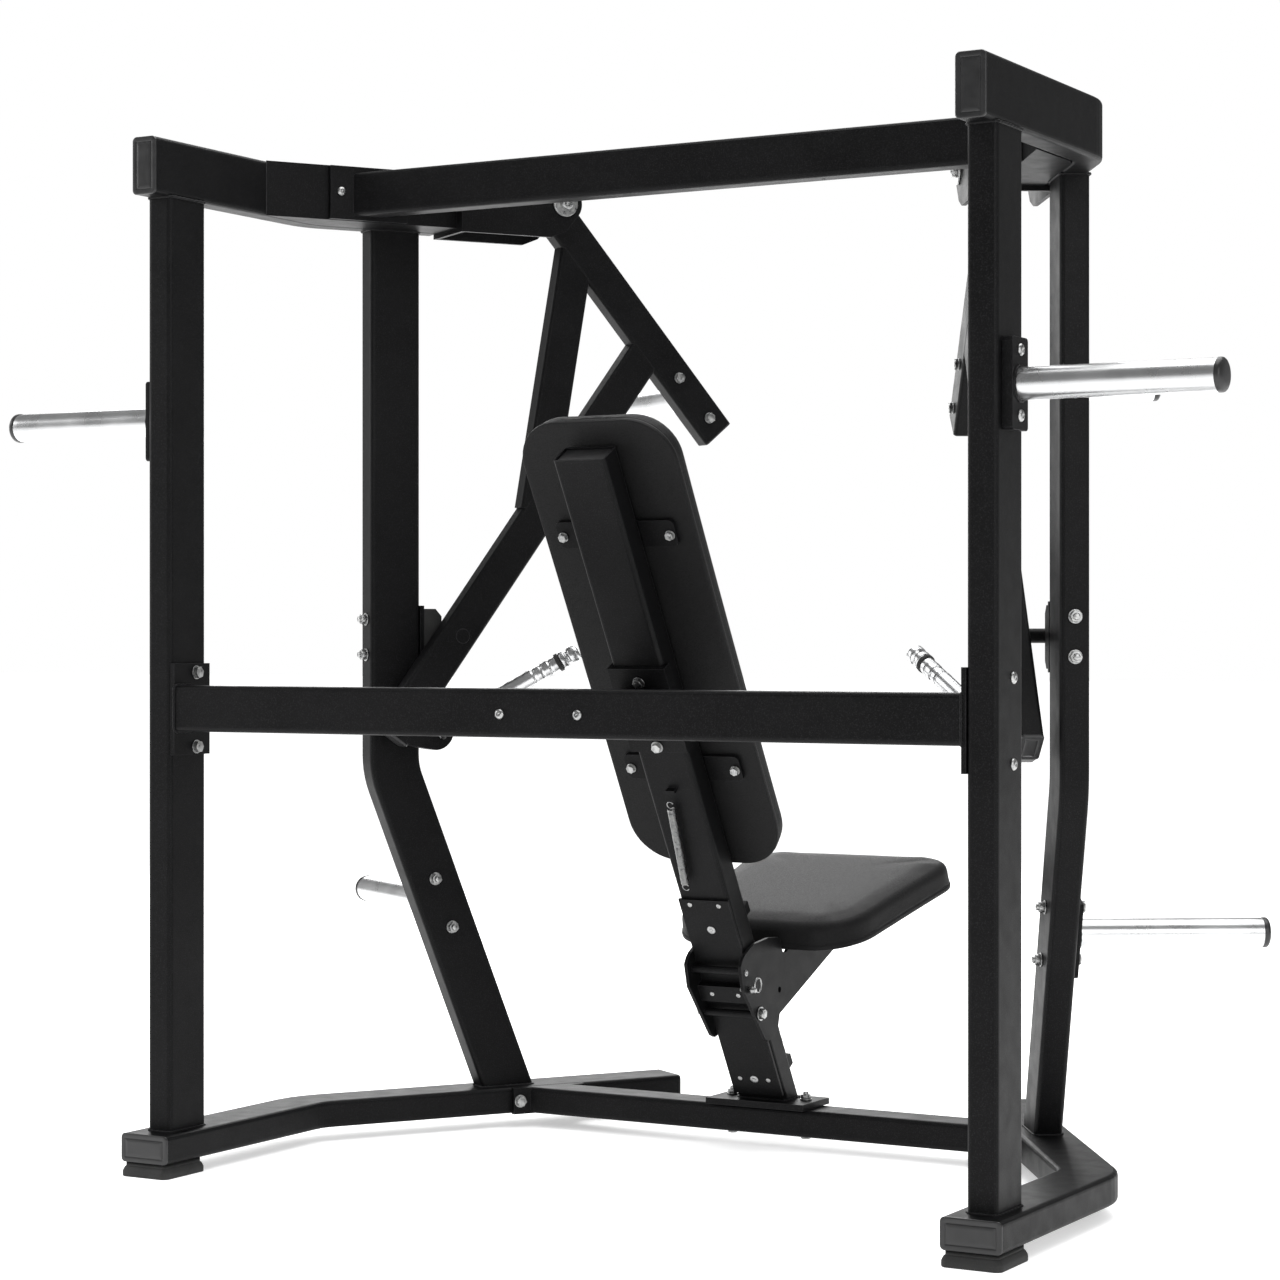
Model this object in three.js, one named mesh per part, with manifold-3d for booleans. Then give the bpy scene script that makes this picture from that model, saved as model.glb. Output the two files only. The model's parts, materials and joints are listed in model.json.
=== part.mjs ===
// Plate-loaded seated chest press. Millimetres, +Z up. The user faces +Y and +X is the user's right.
// Every right-hand side piece is made once and mirrored in the plane x = 0 for the left.
import * as THREE from 'three';
import { mergeVertices } from 'three/addons/utils/BufferGeometryUtils.js';
import Module from 'manifold-3d';

const wasm = await Module();
wasm.setup();

// ---- driving dimensions -------------------------------------------------------------------------
const GAP = 0.3; // clearance between separate pieces
const WALL = 3; // wall of the steel tubes
const CORNER = 8; // outside corner radius of the steel tubes
const TUBE_WIDE = 100; // the frame is made of one rectangular tube
const TUBE_THIN = 50;
const OVERALL_HEIGHT = 1806;
const FOOT_HEIGHT = 25;
const POST_X = 777; // centre of the rear posts and of the rear ends of the side tubes
const SIDE_ANGLE = THREE.MathUtils.degToRad(33); // the front halves of the sides toe in by this
const FRONT_C = 891; // centre line of the front halves, in the toed-in side frame
const BEND_RADIUS = 120;
const BEND_STEPS = 5;

const BASE_TOP = FOOT_HEIGHT + TUBE_THIN;
const TOP_BOTTOM = OVERALL_HEIGHT - TUBE_WIDE;
const REAR_OVERHANG = 38; // the side tubes run past the rear of the posts by this
const CAP_FACE = 4;
const CAP_PLUG = 20;
const BASE_FRONT_S = 706;
const TOP_FRONT_S = 200;

const FRONT_POST = { s: 113, bendZ: 687, slope: THREE.MathUtils.degToRad(21), radius: 150 };

const PIVOT = { s: 414, z: 1763, shaftRadius: 12, boreRadius: 12.6, hubRadius: 30 };
const BEAM = { inner: 781, outer: 866, wall: 8 };
const FORK = { inner: 754, outer: 889, plate: 8, radius: 36, bottom: 1697 };

const ARM = { inner: 798, outer: 838, width: 70 };
const HORN_RADIUS = 25;
const PLATE = 8;

const LEAN = Math.PI / 6; // the seat column leans back by this
const COLUMN_FOOT_Y = 784.7; // rear face of the column where it meets the foot plate
const FOOT_PLATE = 12;
const COLUMN_FOOT_Z = BASE_TOP + FOOT_PLATE;
const COLUMN_LENGTH = 1320;
const SEAT_TILT = THREE.MathUtils.degToRad(13.3);

// ---- solids -------------------------------------------------------------------------------------
function bare(geometry) {
  const copy = geometry.clone();
  copy.deleteAttribute('normal');
  copy.deleteAttribute('uv');
  return mergeVertices(copy, 1e-4);
}

function toManifold(geometry) {
  const merged = bare(geometry);
  return new wasm.Manifold(new wasm.Mesh({
    numProp: 3,
    vertProperties: Float32Array.from(merged.attributes.position.array),
    triVerts: Uint32Array.from(merged.index.array),
  }));
}

function fromManifold(manifold) {
  const mesh = manifold.getMesh();
  const geometry = new THREE.BufferGeometry();
  geometry.setAttribute('position', new THREE.BufferAttribute(Float32Array.from(mesh.vertProperties), 3));
  geometry.setIndex(new THREE.BufferAttribute(Uint32Array.from(mesh.triVerts), 1));
  return geometry;
}

function join(...geometries) {
  return fromManifold(geometries.map(toManifold).reduce((sum, next) => sum.add(next)));
}

function cut(geometry, ...tools) {
  return fromManifold(tools.map(toManifold).reduce((left, tool) => left.subtract(tool), toManifold(geometry)));
}

function mirrored(geometry) {
  const copy = bare(geometry).scale(-1, 1, 1);
  const index = copy.index.array;
  for (let i = 0; i < index.length; i += 3) {
    [index[i], index[i + 1]] = [index[i + 1], index[i]];
  }
  return copy;
}

// A box given by its low and high corner along each axis.
function box([x0, x1], [y0, y1], [z0, z1]) {
  const geometry = new THREE.BoxGeometry(x1 - x0, y1 - y0, z1 - z0);
  return geometry.translate((x0 + x1) / 2, (y0 + y1) / 2, (z0 + z1) / 2);
}

// Moves local x, y and z = x cross y to the given directions, and the local origin to a point.
function place(geometry, origin, xAxis, yAxis) {
  const x = new THREE.Vector3(...xAxis).normalize();
  const y = new THREE.Vector3(...yAxis).normalize();
  const matrix = new THREE.Matrix4().makeBasis(x, y, new THREE.Vector3().crossVectors(x, y));
  return geometry.applyMatrix4(matrix).translate(...origin);
}

function roundedRect(width, height, radius) {
  const x = width / 2 - radius;
  const y = height / 2 - radius;
  const shape = new THREE.Shape();
  shape.absarc(x, y, radius, 0, Math.PI / 2, false);
  shape.absarc(-x, y, radius, Math.PI / 2, Math.PI, false);
  shape.absarc(-x, -y, radius, Math.PI, 1.5 * Math.PI, false);
  shape.absarc(x, -y, radius, 1.5 * Math.PI, 2 * Math.PI, false);
  return shape;
}

// A closed outline with rounded corners, each corner given as [x, y, how far its rounding reaches].
function roundedOutline(corners) {
  const shape = new THREE.Shape();
  corners.forEach(([x, y, reach], i) => {
    const corner = new THREE.Vector2(x, y);
    const toward = ([otherX, otherY]) => new THREE.Vector2(otherX, otherY).sub(corner).setLength(reach).add(corner);
    const start = toward(corners.at(i - 1));
    const end = toward(corners[(i + 1) % corners.length]);
    if (i === 0) shape.moveTo(start.x, start.y);
    else shape.lineTo(start.x, start.y);
    shape.quadraticCurveTo(x, y, end.x, end.y);
  });
  shape.closePath();
  return shape;
}

function prism(shape, depth, curveSegments = 2) {
  return new THREE.ExtrudeGeometry(shape, { depth, bevelEnabled: false, curveSegments });
}

function polygon(points) {
  return new THREE.Shape(points.map(([x, y]) => new THREE.Vector2(x, y)));
}

function rectangle(width, height) {
  const x = width / 2;
  const y = height / 2;
  return polygon([[x, y], [-x, y], [-x, -y], [x, -y]]);
}

function tubeShape(width, height) {
  const shape = roundedRect(width, height, CORNER);
  shape.holes.push(rectangle(width - 2 * WALL, height - 2 * WALL));
  return shape;
}

// A closed cylinder standing on the origin and running along +Z.
function rod(radius, length, segments = 24) {
  return new THREE.CylinderGeometry(radius, radius, length, segments).rotateX(Math.PI / 2).translate(0, 0, length / 2);
}

// A solid of revolution about +Z from [radius, height] points.
function turned(points, segments = 20) {
  const profile = points.map(([r, h]) => new THREE.Vector2(r, h));
  return new THREE.LatheGeometry(profile, segments).rotateX(Math.PI / 2);
}

// A path through fixed stations, so that straights and bends get exactly the rings they need.
class Stations extends THREE.Curve {
  constructor(points) {
    super();
    this.points = points;
  }

  getPointAt(u) {
    return this.points[Math.round(u * (this.points.length - 1))].clone();
  }

  getTangentAt(u) {
    const i = Math.round(u * (this.points.length - 1));
    const before = this.points[Math.max(i - 1, 0)];
    const after = this.points[Math.min(i + 1, this.points.length - 1)];
    const here = this.points[i];
    const arriving = here.clone().sub(before).normalize();
    const leaving = after.clone().sub(here).normalize();
    return arriving.add(leaving).normalize();
  }
}

function sweep(shape, points) {
  const options = { steps: points.length - 1, curveSegments: 2, extrudePath: new Stations(points) };
  return new THREE.ExtrudeGeometry(shape, options);
}

// Start, corner and end points joined by straights, with the corner rounded.
function bentPath(start, corner, end, radius) {
  const incoming = corner.clone().sub(start).normalize();
  const outgoing = end.clone().sub(corner).normalize();
  const turn = incoming.angleTo(outgoing);
  const tangent = radius * Math.tan(turn / 2);
  const inward = outgoing.clone().sub(incoming).normalize();
  const centre = corner.clone().addScaledVector(inward, radius / Math.cos(turn / 2));
  const first = corner.clone().addScaledVector(incoming, -tangent);
  const points = [start];
  for (let i = 0; i <= BEND_STEPS; i += 1) {
    const axis = incoming.clone().cross(outgoing).normalize();
    const spoke = first.clone().sub(centre).applyAxisAngle(axis, (turn * i) / BEND_STEPS);
    points.push(spoke.add(centre));
  }
  points.push(end);
  return points;
}

// ---- the toed-in side frame: x = c (outward), y = s (forward and inward), z up ----------------------
function sideToWorld(c, s, z) {
  return new THREE.Vector3(c, s, z).applyAxisAngle(new THREE.Vector3(0, 0, 1), SIDE_ANGLE);
}

function fromSide(geometry) {
  return geometry.rotateZ(SIDE_ANGLE);
}

// A flat outline in the side's (s, z) plane, thickened from c0 to c1.
function sidePlate(points, c0, c1) {
  return place(prism(polygon(points), c1 - c0), [c0, 0, 0], [0, 1, 0], [0, 0, 1]);
}

function sideRod(radius, c0, c1, s, z, segments = 24) {
  return place(rod(radius, c1 - c0, segments), [c0, s, z], [0, 1, 0], [0, 0, 1]);
}

// ---- side frames --------------------------------------------------------------------------------
function sideTubePath(frontS, z) {
  const start = new THREE.Vector3(POST_X, -REAR_OVERHANG, z);
  const cornerY = (FRONT_C - POST_X * Math.cos(SIDE_ANGLE)) / Math.sin(SIDE_ANGLE);
  const corner = new THREE.Vector3(POST_X, cornerY, z);
  return bentPath(start, corner, sideToWorld(FRONT_C, frontS, z), BEND_RADIUS);
}

function baseTube() {
  return sweep(tubeShape(TUBE_THIN, TUBE_WIDE), sideTubePath(BASE_FRONT_S, FOOT_HEIGHT + TUBE_THIN / 2));
}

function topTube() {
  return sweep(tubeShape(TUBE_WIDE, TUBE_THIN), sideTubePath(TOP_FRONT_S, OVERALL_HEIGHT - TUBE_WIDE / 2));
}

// Plug with a flange that covers a tube's end; local +Z points out of the tube.
function endCap(width, height) {
  const inset = 2 * (WALL + GAP);
  const flange = prism(roundedRect(width, height, CORNER), CAP_FACE).translate(0, 0, GAP);
  const plug = prism(rectangle(width - inset, height - inset), CAP_PLUG + 2 * GAP);
  return join(flange, plug.translate(0, 0, -CAP_PLUG));
}

function rearCap(width, height, z) {
  return place(endCap(width, height), [POST_X, -REAR_OVERHANG, z], [1, 0, 0], [0, 0, 1]);
}

function baseFrontCap() {
  const cap = endCap(TUBE_WIDE, TUBE_THIN);
  const z = FOOT_HEIGHT + TUBE_THIN / 2;
  return fromSide(place(cap, [FRONT_C, BASE_FRONT_S, z], [-1, 0, 0], [0, 0, 1]));
}

// Rubber foot: a wide pad under a narrower neck.
function foot() {
  const pad = prism(roundedRect(100, 115, 12), 19);
  const neck = prism(roundedRect(88, 98, 10), FOOT_HEIGHT - GAP);
  return join(pad, neck);
}

function rearPost() {
  const height = TOP_BOTTOM - BASE_TOP - 2 * GAP;
  return prism(tubeShape(TUBE_THIN, TUBE_WIDE), height).translate(POST_X, TUBE_WIDE / 2, BASE_TOP + GAP);
}

// Vertical from the top tube, then sloping forward to the base tube.
function frontPost() {
  const drop = FRONT_POST.bendZ - FOOT_HEIGHT;
  const top = new THREE.Vector3(FRONT_C, FRONT_POST.s, TOP_BOTTOM - GAP);
  const corner = new THREE.Vector3(FRONT_C, FRONT_POST.s, FRONT_POST.bendZ);
  const end = new THREE.Vector3(FRONT_C, FRONT_POST.s + drop * Math.tan(FRONT_POST.slope), FOOT_HEIGHT);
  const tube = sweep(tubeShape(TUBE_WIDE, TUBE_THIN), bentPath(top, corner, end, FRONT_POST.radius));
  const below = box([FRONT_C - 60, FRONT_C + 60], [0, 600], [-40, BASE_TOP + GAP]);
  return fromSide(cut(tube, below));
}

// Plan outline, in the side frame, of the beam that fills the inside of the top tube's bend.
const BEAM_FRONT_S = TOP_FRONT_S + 1;

function beamOutline(inner, outer) {
  const turn = new THREE.Matrix4().makeRotationZ(-SIDE_ANGLE);
  const path = sideTubePath(TOP_FRONT_S, 0);
  const inside = path.slice(1, -1).map((point, i) => {
    const along = path[i + 2].clone().sub(point).normalize().add(point.clone().sub(path[i]).normalize()).normalize();
    const inward = new THREE.Vector3(-along.y, along.x, 0);
    return point.clone().addScaledVector(inward, TUBE_THIN / 2 + GAP).applyMatrix4(turn);
  });
  const rearS = (inner * Math.cos(SIDE_ANGLE) - (POST_X - TUBE_THIN / 2 - GAP)) / Math.sin(SIDE_ANGLE);
  return polygon([
    [inner, BEAM_FRONT_S], [inner, rearS], ...inside.map((point) => [point.x, point.y]), [outer, BEAM_FRONT_S],
  ]);
}

// Beam welded along the inside of the top tube. A plate across its front end carries the two cheeks
// of the fork that holds the arm.
function pivotBeam() {
  const { inner, outer, plate, radius, bottom } = FORK;
  const outerFace = BEAM.outer - GAP;
  const rear = TOP_FRONT_S + GAP;
  const beam = prism(beamOutline(BEAM.inner, outerFace), TUBE_WIDE).translate(0, 0, TOP_BOTTOM);
  const backPlate = box([inner, outer], [rear, rear + plate], [bottom, OVERALL_HEIGHT]);
  const hollow = box(
    [BEAM.inner + BEAM.wall, outerFace - BEAM.wall],
    [-10, rear + 2 * plate],
    [TOP_BOTTOM + WALL, OVERALL_HEIGHT - WALL],
  );
  const outline = new THREE.Shape();
  outline.moveTo(rear, bottom);
  outline.lineTo(385, bottom);
  outline.lineTo(417, bottom + 13);
  outline.absarc(PIVOT.s, PIVOT.z, radius, -Math.PI / 4, Math.PI / 2, false);
  outline.lineTo(rear, OVERALL_HEIGHT);
  const cheeks = [inner, outer - plate].map((c) => (
    place(prism(outline, plate, 8), [c, 0, 0], [0, 1, 0], [0, 0, 1])
  ));
  const shaftHole = sideRod(PIVOT.boreRadius, inner - 5, outer + 5, PIVOT.s, PIVOT.z);
  return fromSide(cut(join(cut(join(beam, backPlate), hollow), ...cheeks), shaftHole));
}

// Shaft through the fork and the arm's hub, with a washer and bolt head on each end.
function pivotShaft() {
  const start = FORK.inner - GAP;
  const end = FORK.outer;
  const length = end - start;
  const half = [
    [0, -14], [10, -14], [10, -4], [25, -4], [25, 0], [PIVOT.shaftRadius, 0],
    [PIVOT.shaftRadius, length], [25, length], [25, length + 4], [10, length + 4], [10, length + 14], [0, length + 14],
  ];
  return fromSide(place(turned(half, 16), [start, PIVOT.s, PIVOT.z], [0, 1, 0], [0, 0, 1]));
}

// ---- cross tubes --------------------------------------------------------------------------------
const REAR_CROSS = { z0: 773.5, z1: 853.5 };

// Drain hole through the underside of a closed tube.
function drain(x, y, z) {
  return rod(4, 2 * CORNER, 12).translate(x, y, z - CORNER);
}

function rearCrossTube() {
  const reach = POST_X - TUBE_THIN / 2 - GAP;
  const tube = prism(tubeShape(80, TUBE_THIN), 2 * (reach - PLATE / 2));
  place(tube, [-(reach - PLATE / 2), TUBE_THIN / 2, (REAR_CROSS.z0 + REAR_CROSS.z1) / 2], [0, 0, -1], [0, 1, 0]);
  const flange = box([reach - PLATE, reach], [0, TUBE_WIDE], [732, 892]);
  return cut(join(tube, flange, mirrored(flange)), drain(600, TUBE_THIN / 2, REAR_CROSS.z0));
}

// A cross tube whose ends are cut to lie on flanges in the toed-in planes c = flangeOuter.
function splayedCrossTube({ y, z, depth, height, flangeOuter, flangeInner, s, flangeZ }) {
  const reach = 900;
  const tube = prism(tubeShape(height, depth), 2 * reach);
  place(tube, [-reach, y, z], [0, 0, -1], [0, 1, 0]);
  const beyond = fromSide(box([(flangeInner + flangeOuter) / 2, 2000], [-2000, 2000], [0, 2000]));
  const flange = fromSide(box([flangeInner, flangeOuter - GAP], s, flangeZ));
  const solid = join(cut(tube, beyond, mirrored(beyond)), flange, mirrored(flange));
  return cut(solid, drain(300, y, z - height / 2));
}

function topCrossTube() {
  return splayedCrossTube({
    y: 435, z: 1754, depth: 50, height: 80,
    flangeInner: 770, flangeOuter: BEAM.inner, s: [-56, 96], flangeZ: [1707, 1805],
  });
}

function bottomCrossTube() {
  return splayedCrossTube({
    y: 808, z: 50, depth: 80, height: 50,
    flangeInner: 829, flangeOuter: FRONT_C - TUBE_WIDE / 2, s: [342, 492], flangeZ: [FOOT_HEIGHT, BASE_TOP],
  });
}

// ---- weight horns -------------------------------------------------------------------------------
// Mounting plate in the local z = 0 plane and a hollow horn along +Z, open at the tip for its cap.
function horn(plateWidth, plateHeight, length, thickness = PLATE) {
  const plate = prism(roundedRect(plateWidth, plateHeight, 4), thickness);
  const inside = HORN_RADIUS - WALL;
  const tube = turned([[inside, 4], [HORN_RADIUS, 4], [HORN_RADIUS, length], [inside, length], [inside, 4]]);
  const collar = turned([[inside, 4], [28, 4], [28, thickness + 5], [inside, thickness + 5], [inside, 4]]);
  return join(plate, tube, collar);
}

function hornCap() {
  const inside = HORN_RADIUS - WALL - GAP;
  return turned([[0, -15], [inside, -15], [inside, GAP], [26, GAP], [26, 6], [21, 11], [0, 13]]);
}

const STORAGE_LENGTH = 327;
const LOADING_LENGTH = 332;

const UPPER_HORN = {
  origin: [POST_X + TUBE_THIN / 2 + GAP, 46, 1317],
  x: [0, 1, 0],
  y: [0, 0, 1],
  blockWidth: 60,
  blockThickness: 18,
};

function upperHorn() {
  const { origin, x, y, blockWidth, blockThickness } = UPPER_HORN;
  return place(horn(blockWidth, 140, STORAGE_LENGTH, blockThickness), origin, x, y);
}

function upperHornCap() {
  const [x, y, z] = UPPER_HORN.origin;
  return place(hornCap(), [x + STORAGE_LENGTH, y, z], UPPER_HORN.x, UPPER_HORN.y);
}

// The lower horn's plate follows the slope of the front post.
const LOWER_HORN = {
  c: FRONT_C + TUBE_THIN / 2 + GAP, s: 211, z: 432.5,
  along: [0, Math.cos(FRONT_POST.slope), Math.sin(FRONT_POST.slope)],
  up: [0, -Math.sin(FRONT_POST.slope), Math.cos(FRONT_POST.slope)],
};

function lowerHorn() {
  const { c, s, z, along, up } = LOWER_HORN;
  return fromSide(place(horn(TUBE_WIDE * 0.7, 140, STORAGE_LENGTH), [c, s, z], along, up));
}

function lowerHornCap() {
  const { c, s, z, along, up } = LOWER_HORN;
  return fromSide(place(hornCap(), [c + STORAGE_LENGTH, s, z], along, up));
}

// ---- arm stops ----------------------------------------------------------------------------------
function stopPlate() {
  const start = FRONT_POST.s + TUBE_WIDE / 2 + GAP;
  return fromSide(box([866, 916], [start, start + PLATE], [878, 998]));
}

function bumper() {
  const start = FRONT_POST.s + TUBE_WIDE / 2 + PLATE + 2 * GAP;
  const outline = [[start, 884], [start + 24, 884], [208, 898], [208, 978], [start + 24, 992], [start, 992]];
  return fromSide(sidePlate(outline, 868, 914));
}

// ---- arms ---------------------------------------------------------------------------------------
const LEVER = { from: [448, 1719], to: [771, 1340] };
const STRUT = { from: [378.7, 1180], to: [464.5, 1684] };
const DIAGONAL = { from: [82, 756], to: [612, 1490] };
const TAB = { s: 167, z: 762, radius: 36 };
const LOADING = { s: 716.5, z: 1407 };
const HANDLE = { s: 167.6, z: 760.7, direction: [-0.4157, 0.7636, 0.4929], length: 303 };

// Outline of a straight bar of the given width, lengthened past each end.
function bar({ from, to }, width, before, after) {
  const [s0, z0] = from;
  const [s1, z1] = to;
  const length = Math.hypot(s1 - s0, z1 - z0);
  const along = [(s1 - s0) / length, (z1 - z0) / length];
  const side = [-along[1] * width / 2, along[0] * width / 2];
  const a = [s0 - along[0] * before, z0 - along[1] * before];
  const b = [s1 + along[0] * after, z1 + along[1] * after];
  return [
    [a[0] - side[0], a[1] - side[1]], [b[0] - side[0], b[1] - side[1]],
    [b[0] + side[0], b[1] + side[1]], [a[0] + side[0], a[1] + side[1]],
  ];
}

function armWeldment() {
  const { inner, outer, width } = ARM;
  const outside = [
    bar(LEVER, width, 50, 0), bar(STRUT, width, 0, 4), bar(DIAGONAL, width, 0, 25),
  ].map((outline) => sidePlate(outline, inner, outer));
  const hollow = width - 2 * WALL;
  const inside = [
    bar(LEVER, hollow, -20, -WALL), bar(STRUT, hollow, 0, 0), bar(DIAGONAL, hollow, 1, 20),
  ].map((outline) => sidePlate(outline, inner + WALL, outer - WALL));
  const tab = sidePlate([[109.6, 737.8], [167, 726], [195, 770], [160, 797], [151, 795]], inner, outer);
  const tabEnd = sideRod(TAB.radius, inner, outer, TAB.s, TAB.z);
  const hub = sideRod(PIVOT.hubRadius, FORK.inner + 10, FORK.outer - 10, PIVOT.s, PIVOT.z, 32);
  const stopPin = sideRod(12.5, outer - WALL / 2, 895, 221.5, 940);
  const boxes = cut(join(...outside), ...inside);
  const bore = sideRod(PIVOT.boreRadius, FORK.inner, FORK.outer, PIVOT.s, PIVOT.z, 24);
  const tabTrim = sidePlate(bar(DIAGONAL, hollow, 1, 20), inner + WALL, outer - WALL);
  const ends = cut(join(tab, tabEnd), tabTrim);
  return fromSide(cut(join(boxes, ends, hub, stopPin), bore));
}

function armEndCap() {
  const [s0, z0] = DIAGONAL.from;
  const [s1, z1] = DIAGONAL.to;
  const down = [0, s0 - s1, z0 - z1];
  const across = [1, 0, 0];
  const side = new THREE.Vector3(...down).normalize().cross(new THREE.Vector3(...across)).toArray();
  const depth = ARM.outer - ARM.inner;
  const shape = roundedRect(depth, ARM.width, 3);
  const plugShape = rectangle(depth - 2 * (WALL + GAP), ARM.width - 2 * (WALL + GAP));
  const cap = join(
    prism(shape, CAP_FACE).translate(0, 0, GAP),
    prism(plugShape, CAP_PLUG + 2 * GAP).translate(0, 0, -CAP_PLUG),
  );
  return fromSide(place(cap, [(ARM.inner + ARM.outer) / 2, s0, z0], across, side));
}

function leverDirection() {
  const [s0, z0] = LEVER.from;
  const [s1, z1] = LEVER.to;
  return new THREE.Vector3(0, s1 - s0, z1 - z0).normalize();
}

function loadingPlacement(c) {
  const down = leverDirection();
  const across = new THREE.Vector3(1, 0, 0).cross(down);
  return [[c, LOADING.s, LOADING.z], down.toArray(), across.toArray()];
}

function loadingHorn() {
  return fromSide(place(horn(132, 50, LOADING_LENGTH), ...loadingPlacement(ARM.outer + GAP)));
}

function loadingHornCap() {
  return fromSide(place(hornCap(), ...loadingPlacement(ARM.outer + GAP + LOADING_LENGTH)));
}

// Bar grip with a rounded end fitting; its root stands just off the arm's inner face.
function handle() {
  const { s, z, direction, length } = HANDLE;
  const grip = turned([
    [0, 0], [15, 0], [15, length - 34], [17, length - 33], [17, length - 26], [13, length - 24],
    [13, length - 18], [17, length - 16], [17, length - 4], [13, length + 2], [0, length + 4],
  ], 16);
  const axis = new THREE.Vector3(...direction).normalize();
  const x = new THREE.Vector3(0, 0, 1).cross(axis).normalize();
  const y = axis.clone().cross(x);
  const rootC = ARM.inner;
  place(grip, [rootC, s, z], x.toArray(), y.toArray());
  const armSide = box([rootC - GAP, rootC + 80], [0, 500], [600, 1000]);
  return fromSide(cut(grip, armSide));
}

// ---- seat column: local x = across, y = forward normal, z = up along the column ---------------------
function onColumn(geometry) {
  return geometry.rotateX(LEAN).translate(0, COLUMN_FOOT_Y, COLUMN_FOOT_Z);
}

function heightOnColumn(z, normal) {
  return (z - COLUMN_FOOT_Z - normal * Math.sin(LEAN)) / Math.cos(LEAN);
}

function seatColumn() {
  const tube = prism(tubeShape(TUBE_WIDE, TUBE_THIN), COLUMN_LENGTH + 60).translate(0, TUBE_THIN / 2, -60);
  const below = box([-60, 60], [600, 1000], [0, COLUMN_FOOT_Z - 1]);
  const footPlate = box([-100, 100], [753, 863], [BASE_TOP + GAP, COLUMN_FOOT_Z]);
  const hookW = heightOnColumn(672, 0);
  const hook = onColumn(box([-9, 9], [-11, 1.5], [hookW - 3, hookW + 3]));
  return join(cut(onColumn(tube), below), footPlate, hook);
}

function columnCap() {
  const inset = 2 * (WALL + GAP);
  const plug = prism(rectangle(TUBE_WIDE - inset, TUBE_THIN - inset), 16);
  return onColumn(plug.translate(0, TUBE_THIN / 2, COLUMN_LENGTH - 20));
}

// Support arm from the rear cross tube, with a clamp plate that wraps the rear of the column.
function columnStrut() {
  const z = (REAR_CROSS.z0 + REAR_CROSS.z1) / 2;
  const start = TUBE_THIN + GAP;
  const flange = box([-100, 100], [start, start + PLATE], [REAR_CROSS.z0, REAR_CROSS.z1]);
  const tube = place(prism(tubeShape(TUBE_WIDE, TUBE_THIN), 400), [0, start + PLATE / 2, z], [-1, 0, 0], [0, 0, 1]);
  const beyond = onColumn(box([-80, 80], [-4, 300], [0, 1400]));
  const plateBox = box([-56, 56], [-PLATE, 14], [heightOnColumn(742, 0), heightOnColumn(887, 0)]);
  const columnSpace = box([-TUBE_WIDE / 2 - GAP, TUBE_WIDE / 2 + GAP], [-GAP, 20], [0, 1400]);
  const solid = join(flange, cut(tube, beyond), onColumn(cut(plateBox, columnSpace)));
  return cut(solid, drain(0, 200, z - TUBE_THIN / 2));
}

function guidePlate() {
  return onColumn(box([-50, 50], [-5 - GAP, -GAP], [heightOnColumn(100, 0), heightOnColumn(472, 0)]));
}

// Toothed strip on the front face, with a raised stop at each end.
const RACK = { low: 30, high: 392, base: 10, tooth: 6, pitch: 24, stop: 24, stopLength: 22 };

function rack() {
  const front = TUBE_THIN + GAP;
  const { low, high, base, tooth, pitch, stop, stopLength } = RACK;
  const points = [[front, low], [front + stop, low], [front + stop, low + stopLength]];
  for (let w = low + stopLength + 4; w + pitch < high - stopLength; w += pitch) {
    points.push([front + base - tooth, w], [front + base, w + 8], [front + base, w + pitch - 4]);
  }
  points.push([front + base - tooth, high - stopLength], [front + stop, high - stopLength]);
  points.push([front + stop, high], [front, high]);
  return onColumn(place(prism(polygon(points), 80), [-40, 0, 0], [0, 1, 0], [0, 0, 1]));
}

// The return spring as a plain sleeve with the coil's outside and inside diameters.
function spring() {
  const top = new THREE.Vector3(-5, -12, 636);
  const bottom = new THREE.Vector3(-21, -12, 478);
  const inside = 5;
  const outside = 7.5;
  const axis = top.clone().sub(bottom);
  const length = axis.length();
  const sleeve = turned([[inside, 0], [outside, 0], [outside, length], [inside, length], [inside, 0]], 16);
  const across = new THREE.Vector3(0, 1, 0);
  return onColumn(place(sleeve, bottom.toArray(), across.clone().cross(axis).toArray(), across.toArray()));
}

function backBracket(z) {
  const w = heightOnColumn(z, TUBE_THIN);
  const front = TUBE_THIN + GAP;
  const plate = prism(roundedRect(230, 50, 10), PLATE);
  return onColumn(place(plate, [0, front + PLATE, w], [1, 0, 0], [0, 0, 1]));
}

// A cushion lying on local z = 0, with its edges rounded by CUSHION_EDGE all round.
// The outline is the flat part of its face, that much inside the cushion's own outline.
const CUSHION_EDGE = 14;

function cushion(outline, thickness) {
  const options = {
    depth: thickness - 2 * CUSHION_EDGE,
    bevelThickness: CUSHION_EDGE,
    bevelSize: CUSHION_EDGE,
    bevelSegments: 2,
    curveSegments: 5,
  };
  return new THREE.ExtrudeGeometry(outline, options).translate(0, 0, CUSHION_EDGE);
}

const BACK_PAD = { low: 481, high: 1364, width: 300, corner: 85, thickness: 50 };

function backrestPad() {
  const { low, high, width, corner, thickness } = BACK_PAD;
  const rear = TUBE_THIN + 2 * GAP + PLATE;
  const inset = 2 * CUSHION_EDGE;
  const outline = roundedRect(width - inset, high - low - inset, corner - CUSHION_EDGE);
  const pad = cushion(outline, thickness);
  return onColumn(place(pad, [0, rear, (low + high) / 2], [-1, 0, 0], [0, 0, 1]));
}

// ---- seat: local x = across, y = forward, z = up from the underside of the pad -----------------------
const SEAT = {
  rearY: 762,
  rearZ: 366,
  length: 449,
  thickness: 55,
  rearHalf: 190,
  frontHalf: 227,
  rearCorner: 66,
  frontCorner: 76,
};

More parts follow.
